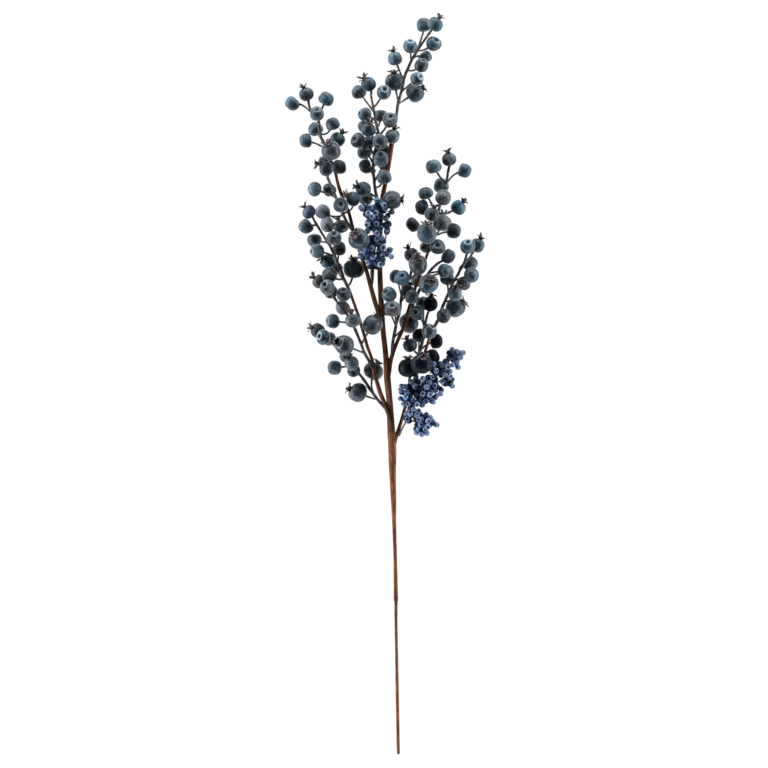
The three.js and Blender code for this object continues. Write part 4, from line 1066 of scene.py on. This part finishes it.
def build_stem(name, line, materials, rng):
    """A wire bundle wound with paper tape. Along its length u and round it at turn t, the tape's
    phase is u / pitch + t / 2 pi; each lap rises slowly as phase^1.5 and drops at its edge, and
    slow waves round the stem give the wires below it. Marks: how high on a lap, which sets the
    painted shade where the laps meet, or all ones in a crease of painted shadow."""
    path, radii, along = smooth_path(*line, STEM_STEP)
    sides = MAIN_SIDES if name == "main_stem" else BRANCH_SIDES
    turn, along = turns(sides), along[:, None]
    knots = np.linspace(0, along[-1, 0], WANDER_KNOTS)
    wander = np.interp(along, knots, rng.uniform(-TAPE_WANDER, TAPE_WANDER, WANDER_KNOTS))
    lap = (along / TAPE_PITCH + turn / (2 * np.pi) + wander) % 1
    crest = lap**1.5 * (1 - np.clip((lap - LAP_EDGE) / LAP_DROP, 0, 1))
    wires = sum(height * np.cos(count * turn + along / length) for height, count, length in WIRES)
    laps = TAPE_RELIEF * (crest - LAP_LEVEL) / radii[:, None]
    relief = laps + wires * np.clip(radii[:, None] - BARE_BUNDLE, 0, 1)
    skin = Skin()
    marks = np.zeros((*crest.shape, 4))
    marks[..., 0] = crest
    add_tube(skin, path, radii * STEM_FULLNESS + TAPE_THICKNESS, sides, lambda _: relief, marks)
    if name == "main_stem":
        for seam in SHADOW_CREASES:
            add_shadow_crease(skin, on_board([[x, y, 0] for x, y in seam]), line)
    skin.build(f"taped_{name}", materials["tape"], name, "stem_tape")


def add_shadow_crease(skin, places, line):
    """A crease of painted shadow: a thin rib that lies on the stem. Where it runs d to the side of the
    stem's own line, it stands sqrt(radius^2 - d^2) above that line."""
    across, height, radius = np.array([nearest_across(x, y, line) for x, y, _ in places]).T
    radius = radius * STEM_FULLNESS + TAPE_THICKNESS
    places[:, 2] = height + np.sqrt(np.maximum(radius**2 - across**2, 0))
    path, radii, _ = smooth_path(places, np.full(len(places), SEAM_RADIUS), SEAM_STEP)
    radii = radii * np.sin(np.linspace(SEAM_END, np.pi - SEAM_END, len(path))) ** 0.5
    add_tube(skin, path, radii, SEAM_SIDES, marks=np.ones((len(path), SEAM_SIDES, 4)))


# ------------------------------------------------------------------ materials

MIX_A, MIX_B, MIX_RESULT = 6, 7, 2  # a Mix node's sockets for colours


def patchy_cover():
    """A node group for dust, frost, stains and fibres: noise over a place, faded in from a first
    level to a last one. A first level above the last one covers the low places instead."""
    group = bpy.data.node_groups.new("patchy cover", "ShaderNodeTree")
    group.interface.new_socket("Place", in_out="INPUT", socket_type="NodeSocketVector")
    for name in ("Scale", "Detail", "Grain", "Swirl", "First", "Last"):
        group.interface.new_socket(name, in_out="INPUT", socket_type="NodeSocketFloat")
    group.interface.new_socket("Cover", in_out="OUTPUT", socket_type="NodeSocketFloat")
    given = group.nodes.new("NodeGroupInput").outputs
    noise = group.nodes.new("ShaderNodeTexNoise")
    fade = group.nodes.new("ShaderNodeMapRange")
    made = group.nodes.new("NodeGroupOutput")
    for name, socket in (("Place", "Vector"), ("Scale", "Scale"), ("Detail", "Detail"),
                         ("Grain", "Roughness"), ("Swirl", "Distortion")):
        group.links.new(given[name], noise.inputs[socket])
    for source, socket in ((noise.outputs["Fac"], "Value"), (given["First"], "From Min"),
                           (given["Last"], "From Max")):
        group.links.new(source, fade.inputs[socket])
    group.links.new(fade.outputs["Result"], made.inputs["Cover"])
    return group


class Nodes:
    """A material's node tree, with the few helpers that every finish here uses."""

    cover_group = patchy_cover()

    def __init__(self, name):
        self.material = bpy.data.materials.new(name)
        self.material.use_nodes = True
        self.tree = self.material.node_tree
        self.shader = self.tree.nodes["Principled BSDF"]

    def new(self, kind, **values):
        node = self.tree.nodes.new(kind)
        for key, value in values.items():
            setattr(node, key, value)
        return node

    def link(self, source, target):
        self.tree.links.new(source, target)

    def feed(self, socket, value):
        """Gives a socket a constant, or what comes out of another socket."""
        if isinstance(value, bpy.types.NodeSocket):
            self.link(value, socket)
        else:
            socket.default_value = value

    def cover(self, first, last, scale, detail=3, grain=0.55, stretch=None, place=None, swirl=0.0):
        """A patchy cover over a place, which is the object's own coordinates if none is given. A
        stretch scales the noise more or less along each axis."""
        place = place or self.new("ShaderNodeTexCoord").outputs["Object"]
        if stretch:
            mapping = self.new("ShaderNodeMapping")
            mapping.inputs["Scale"].default_value = stretch
            self.link(place, mapping.inputs["Vector"])
            place = mapping.outputs["Vector"]
        node = self.new("ShaderNodeGroup", node_tree=self.cover_group)
        self.link(place, node.inputs["Place"])
        for key, number in (("Scale", scale), ("Detail", detail), ("Grain", grain), ("Swirl", swirl),
                            ("First", first), ("Last", last)):
            node.inputs[key].default_value = number
        return node.outputs["Cover"]

    def spread(self, value, low, high, to_low=0.0, to_high=1.0):
        """A value carried from low..high to to_low..to_high, and held at their ends."""
        node = self.new("ShaderNodeMapRange")
        self.feed(node.inputs["Value"], value)
        for key, number in (("From Min", low), ("From Max", high), ("To Min", to_low), ("To Max", to_high)):
            node.inputs[key].default_value = number
        return node.outputs["Result"]

    def math(self, operation, a, b):
        node = self.new("ShaderNodeMath", operation=operation)
        self.feed(node.inputs[0], a)
        self.feed(node.inputs[1], b)
        return node.outputs["Value"]

    def share(self, a, b):
        return self.math("MULTIPLY", a, b)

    def blend(self, share, a, b):
        """Colour a, with a share of colour b over it."""
        node = self.new("ShaderNodeMix", data_type="RGBA")
        self.feed(node.inputs["Factor"], share)
        self.feed(node.inputs[MIX_A], a)
        self.feed(node.inputs[MIX_B], b)
        return node.outputs[MIX_RESULT]

    def attribute(self, name):
        return self.new("ShaderNodeAttribute", attribute_name=name).outputs["Color"]

    def marks(self):
        """The four numbers that each shape's marks give."""
        given = self.new("ShaderNodeAttribute", attribute_name="mark").outputs
        node = self.new("ShaderNodeSeparateColor")
        self.link(given["Color"], node.inputs["Color"])
        return *(node.outputs[key] for key in ("Red", "Green", "Blue")), given["Alpha"]

    def bump(self, height, distance, strength):
        node = self.new("ShaderNodeBump")
        node.inputs["Strength"].default_value = strength
        node.inputs["Distance"].default_value = distance
        self.link(height, node.inputs["Height"])
        self.link(node.outputs["Normal"], self.shader.inputs["Normal"])

    def set(self, **values):
        """Sets the surface's inputs, named with low lines for spaces."""
        for key, value in values.items():
            self.feed(self.shader.inputs[key.replace("_", " ")], value)


def colour(*rgb):
    """sRGB, 0 to 255, as a colour for a socket."""
    return (*linear(rgb), 1.0)


def berry_material(name, bloom):
    """Painted foam: the berry's own coat, darker in broad patches, brushed in teal, dusted with pale
    grains, with a wandering pale ring round a dimple, partly paler paint and partly a painted
    highlight on its rim that is strongest where the berry is glossy, a black pit of painted shade
    where it has one, and a clear gloss where it was left clean. The bloom is how much of the teal,
    the dust and the velvet a coat has."""
    nodes = Nodes(name)
    out, height, gloss, pit_shade = nodes.marks()
    coat = nodes.attribute("tone")
    own = nodes.attribute("spot")
    broad = {"detail": 2, "grain": 0.5, "place": own}
    patches = nodes.cover(0.35, 0.65, scale=0.55, **broad)
    brush = nodes.cover(0.5, 0.72, scale=0.8, stretch=(1.5, 1.5, 0.8), swirl=0.8, **broad)
    dark_brush = nodes.cover(
        0.5, 0.38, scale=0.75, detail=3, grain=0.5, stretch=(1.6, 1.6, 1.0), place=own, swirl=0.6
    )
    dusty = nodes.share(nodes.cover(0.45, 0.6, scale=0.6, **broad), nodes.spread(gloss, 0.6, 0.0))
    speckle = nodes.share(nodes.cover(0.48, 0.64, scale=8.0, detail=4, grain=0.7, place=own), dusty)
    strokes = nodes.cover(
        0.48, 0.62, scale=2.6, detail=3, grain=0.6, stretch=(2.2, 2.2, 0.7), place=own, swirl=0.5
    )
    strokes = nodes.share(strokes, dusty)
    base = nodes.blend(nodes.share(patches, 0.74), coat, colour(10, 16, 24))
    base = nodes.blend(nodes.share(brush, 0.3 * bloom), base, colour(62, 114, 140))
    base = nodes.blend(nodes.share(strokes, 0.3 * bloom), base, colour(150, 162, 170))
    base = nodes.blend(nodes.share(dark_brush, 0.88), base, colour(5, 9, 14))
    base = nodes.blend(nodes.share(speckle, 0.44 * bloom), base, colour(168, 174, 180))
    near_end = nodes.spread(height, 0.86, 0.94)
    wander = nodes.spread(nodes.cover(0.3, 0.7, scale=1.6, **broad), 0, 1, -0.1, 0.1)
    out = nodes.math("ADD", out, wander)
    # A pale ring round the dimple: partly paler paint, partly a painted highlight on its rim, stronger on
    # glossy berries.
    ring = nodes.spread(nodes.math("ABSOLUTE", nodes.math("SUBTRACT", out, 0.45), 0), 0.2, 0.03)
    ring = nodes.share(nodes.share(near_end, ring), nodes.spread(gloss, 0, 1, 0.1, 0.6))
    ring = nodes.share(ring, nodes.spread(pit_shade, 0, SOFT_PIT))
    base = nodes.blend(ring, base, colour(140, 162, 176))
    # The pit: painted shade, near black in the hollow of the far end.
    pit = nodes.share(near_end, nodes.spread(out, 0.4, 0.16))
    pit = nodes.share(pit, nodes.spread(pit_shade, 0, 1, 0.0, 0.98))
    base = nodes.blend(pit, base, colour(8, 10, 14))
    nodes.set(Base_Color=base, Roughness=nodes.spread(patches, 0, 1, 0.6, 0.42))
    nodes.set(Sheen_Weight=0.95 * bloom, Sheen_Roughness=0.32, Sheen_Tint=colour(210, 221, 231))
    clear = nodes.share(nodes.spread(gloss, 0, 1, 0.12, 0.42), nodes.spread(pit, 0, 1, 0.1 + 0.9 * bloom, 0))
    nodes.set(Coat_Weight=clear, Coat_Roughness=0.38, Specular_IOR_Level=0.18 * bloom)
    dents = nodes.cover(0, 1, scale=1.6, detail=4, grain=0.5, place=own)
    nodes.bump(dents, distance=0.003, strength=0.2)
    return nodes.material


def crown_material():
    """Dry dark plastic sepals: brown gray, dusty, most of all on the large berries, paler along
    their edges and tips, and painted near black inside the cup as the shade of its hollow."""
    nodes = Nodes("dry plastic crown")
    edge, along, hollow, large = nodes.marks()
    dust = nodes.cover(0.42, 0.6, scale=300, detail=4, grain=0.68)
    dust = nodes.share(dust, nodes.spread(large, 0, 1, 0.7, 1))
    base = nodes.blend(dust, colour(22, 19, 21), colour(106, 99, 100))
    base = nodes.blend(nodes.share(nodes.share(edge, along), 0.55), base, colour(122, 114, 116))
    # Painted shade: near black inside the cup's hollow.
    base = nodes.blend(hollow, base, colour(4, 4, 5))
    nodes.set(Base_Color=base, Roughness=0.65, Specular_IOR_Level=0.0)
    nodes.bump(nodes.cover(0, 1, scale=1600), distance=0.0003, strength=0.5)
    return nodes.material


def twig_material():
    """Moulded plastic twigs: near black with a gray dusting, thicker in some stretches."""
    nodes = Nodes("moulded twig")
    stretches = nodes.cover(0.42, 0.6, scale=18, detail=2, grain=0.5)
    dust = nodes.cover(0.42, 0.62, scale=230, detail=5, grain=0.7)
    dust = nodes.share(dust, nodes.spread(stretches, 0, 1, 0.45, 1))
    base = nodes.blend(dust, colour(22, 20, 21), colour(122, 117, 118))
    nodes.set(Base_Color=base, Roughness=0.55, Specular_IOR_Level=0.35)
    nodes.bump(nodes.cover(0, 1, scale=900, detail=4, grain=0.6), distance=0.0004, strength=0.6)
    return nodes.material


def seed_material():
    """Periwinkle cups: frosted in patches, with a painted highlight on the rim round a hollow painted
    dark as shade, each of them more on some cups than on others."""
    nodes = Nodes("frosted seed berry")
    rim, cup, chance, _ = nodes.marks()
    painted = nodes.spread(chance, 0, 1, 0.3, 0.8)
    frost = nodes.share(nodes.cover(0.42, 0.62, scale=330, detail=4, grain=0.6), 0.35)
    base = nodes.blend(frost, nodes.attribute("tone"), colour(116, 138, 168))
    # A painted highlight on the cup's rim, then painted shade in its hollow.
    base = nodes.blend(nodes.share(rim, painted), base, colour(124, 145, 174))
    base = nodes.blend(nodes.share(cup, painted), base, colour(32, 44, 69))
    nodes.set(Base_Color=base, Roughness=0.6, Specular_IOR_Level=0.4)
    nodes.set(Sheen_Weight=0.7, Sheen_Roughness=0.34, Sheen_Tint=colour(200, 211, 230))
    return nodes.material


def core_material():
    """The seed berries deep in a head, painted dark navy as the shade between the seed berries, with the
    head's own tone in patches.
    """
    nodes = Nodes("dark seed core")
    patches = nodes.cover(0.4, 0.65, scale=330, detail=4, grain=0.6)
    base = nodes.blend(patches, colour(30, 38, 57), nodes.attribute("tone"))
    nodes.set(Base_Color=base, Roughness=0.75, Specular_IOR_Level=0.1)
    return nodes.material


def tape_material():
    """Brown crepe paper tape: fibres along the stem, stained in patches, with painted shade where the
    laps meet and painted shadow, near black, in its creases."""
    nodes = Nodes("crepe paper tape")
    crest, crease, _, _ = nodes.marks()
    fibres = {"scale": 800, "detail": 4, "grain": 0.6, "stretch": (1, 0.05, 1)}
    stains = nodes.cover(0.5, 0.66, scale=70, detail=3, grain=0.5)
    base = nodes.blend(nodes.cover(0.35, 0.68, **fibres), colour(75, 43, 27), colour(150, 97, 68))
    base = nodes.blend(nodes.share(stains, 0.65), base, colour(44, 25, 17))
    # Painted shade in the grooves where one lap drops onto the next.
    base = nodes.blend(nodes.spread(crest, 0.0, 0.4, 0.26, 0.0), base, colour(40, 21, 14))
    # Painted shadow: near black on the crease ribs where the branches leave the stem.
    base = nodes.blend(crease, base, colour(16, 8, 5))
    nodes.set(Base_Color=base, Roughness=0.8, Specular_IOR_Level=0.15)
    nodes.set(Sheen_Weight=0.45, Sheen_Roughness=0.3, Sheen_Tint=colour(222, 180, 156))
    nodes.bump(nodes.cover(0, 1, **fibres), distance=0.0005, strength=0.7)
    return nodes.material


# ------------------------------------------------------------------ stage

FLOOR_HALF = 6.0
FLOOR_DROP = 0.0002  # how far the floor lies below the part
LAMPS = {  # place, size, power
    "left softbox": ((-1.6, 0.15, 0.22), (2.6, 0.4), 62),
    "right softbox": ((1.6, 0.15, 0.22), (2.6, 0.4), 50),
    "far softbox": ((0, 1.8, 0.24), (2.6, 0.4), 64),
    "near softbox": ((0, -1.8, 0.2), (2.6, 0.4), 33),
    "high glint": ((1.1, 0.7, 1.7), (0.3, 0.5), 3),
}
LAMP_AIM = Vector((0, 0.1, 0.02))
SKY_TINT, SKY_STRENGTH = (0.9, 0.94, 1, 1), 0.14
VIEW_SPAN = 768 * MM  # what the square view takes in
BOARD_CENTRE = np.array([384.0, 384.0])  # what the camera looks at
LENS, SENSOR = 800.0, 36.0
VIEW_DEPTH = 60  # how far the camera sees
HEAD_HEIGHT = 0.025  # where the view is true to scale


def build_stage():
    """A pale floor that glows a little, so it stays white and lights the berries from below."""
    mesh = bpy.data.meshes.new("floor")
    corners = [(-1, -1), (1, -1), (1, 1), (-1, 1)]
    mesh.from_pydata([(x * FLOOR_HALF, y * FLOOR_HALF, -FLOOR_DROP) for x, y in corners], [], [(0, 1, 2, 3)])
    nodes = Nodes("pale floor")
    nodes.set(Base_Color=(0.08, 0.08, 0.08, 1), Roughness=0.9, Specular_IOR_Level=0.1)
    nodes.set(Emission_Color=(1, 1, 1, 1), Emission_Strength=1.0)
    mesh.materials.append(nodes.material)
    floor = bpy.data.objects.new("floor", mesh)
    bpy.context.scene.collection.objects.link(floor)


def build_lights():
    """Four low softboxes round the part, a small high lamp for glints, and a faint bluish sky."""
    for name, (place, size, power) in LAMPS.items():
        data = bpy.data.lights.new(name, "AREA")
        data.shape = "RECTANGLE"
        data.size, data.size_y = size
        data.energy = power
        lamp = bpy.data.objects.new(name, data)
        bpy.context.scene.collection.objects.link(lamp)
        lamp.location = place
        lamp.rotation_euler = (LAMP_AIM - Vector(place)).to_track_quat("-Z", "Y").to_euler()
    world = bpy.data.worlds.new("studio")
    world.use_nodes = True
    sky = world.node_tree.nodes["Background"].inputs
    sky["Color"].default_value = SKY_TINT
    sky["Strength"].default_value = SKY_STRENGTH
    bpy.context.scene.world = world


def build_camera():
    """Looks straight down with a very long lens, so places on the board keep theirs in the view. Its
    distance, span * lens / sensor, makes the span fill the view at the height of the head."""
    data = bpy.data.cameras.new("camera")
    data.lens, data.sensor_width = LENS, SENSOR
    data.clip_end = VIEW_DEPTH
    camera = bpy.data.objects.new("camera", data)
    bpy.context.scene.collection.objects.link(camera)
    x, y = (BOARD_CENTRE - BOARD_MIDDLE) * (1, -1) * MM
    camera.location = (x, y, VIEW_SPAN * LENS / SENSOR + HEAD_HEIGHT)
    bpy.context.scene.camera = camera


# ------------------------------------------------------------------ assembly

build_camera()
build_stage()
build_lights()
bpy.context.scene.view_settings.view_transform = "Standard"

materials = {
    "berry": berry_material("painted foam berry", bloom=1.0),
    "dark berry": berry_material("dark clean berry", bloom=0.15),
    "crown": crown_material(),
    "twig": twig_material(),
    "seed": seed_material(),
    "core": core_material(),
    "tape": tape_material(),
}
lines, berries, seeds = lay_out()
rng = np.random.default_rng(7)
for name in STEMS:
    build_stem(name, lines[name], materials, rng)
for name in SPRAYS:
    build_spray(name, lines[name], berries[name], materials, rng)
for name in SEED_HEADS:
    build_seed_head(name, lines, seeds[name], materials, rng)
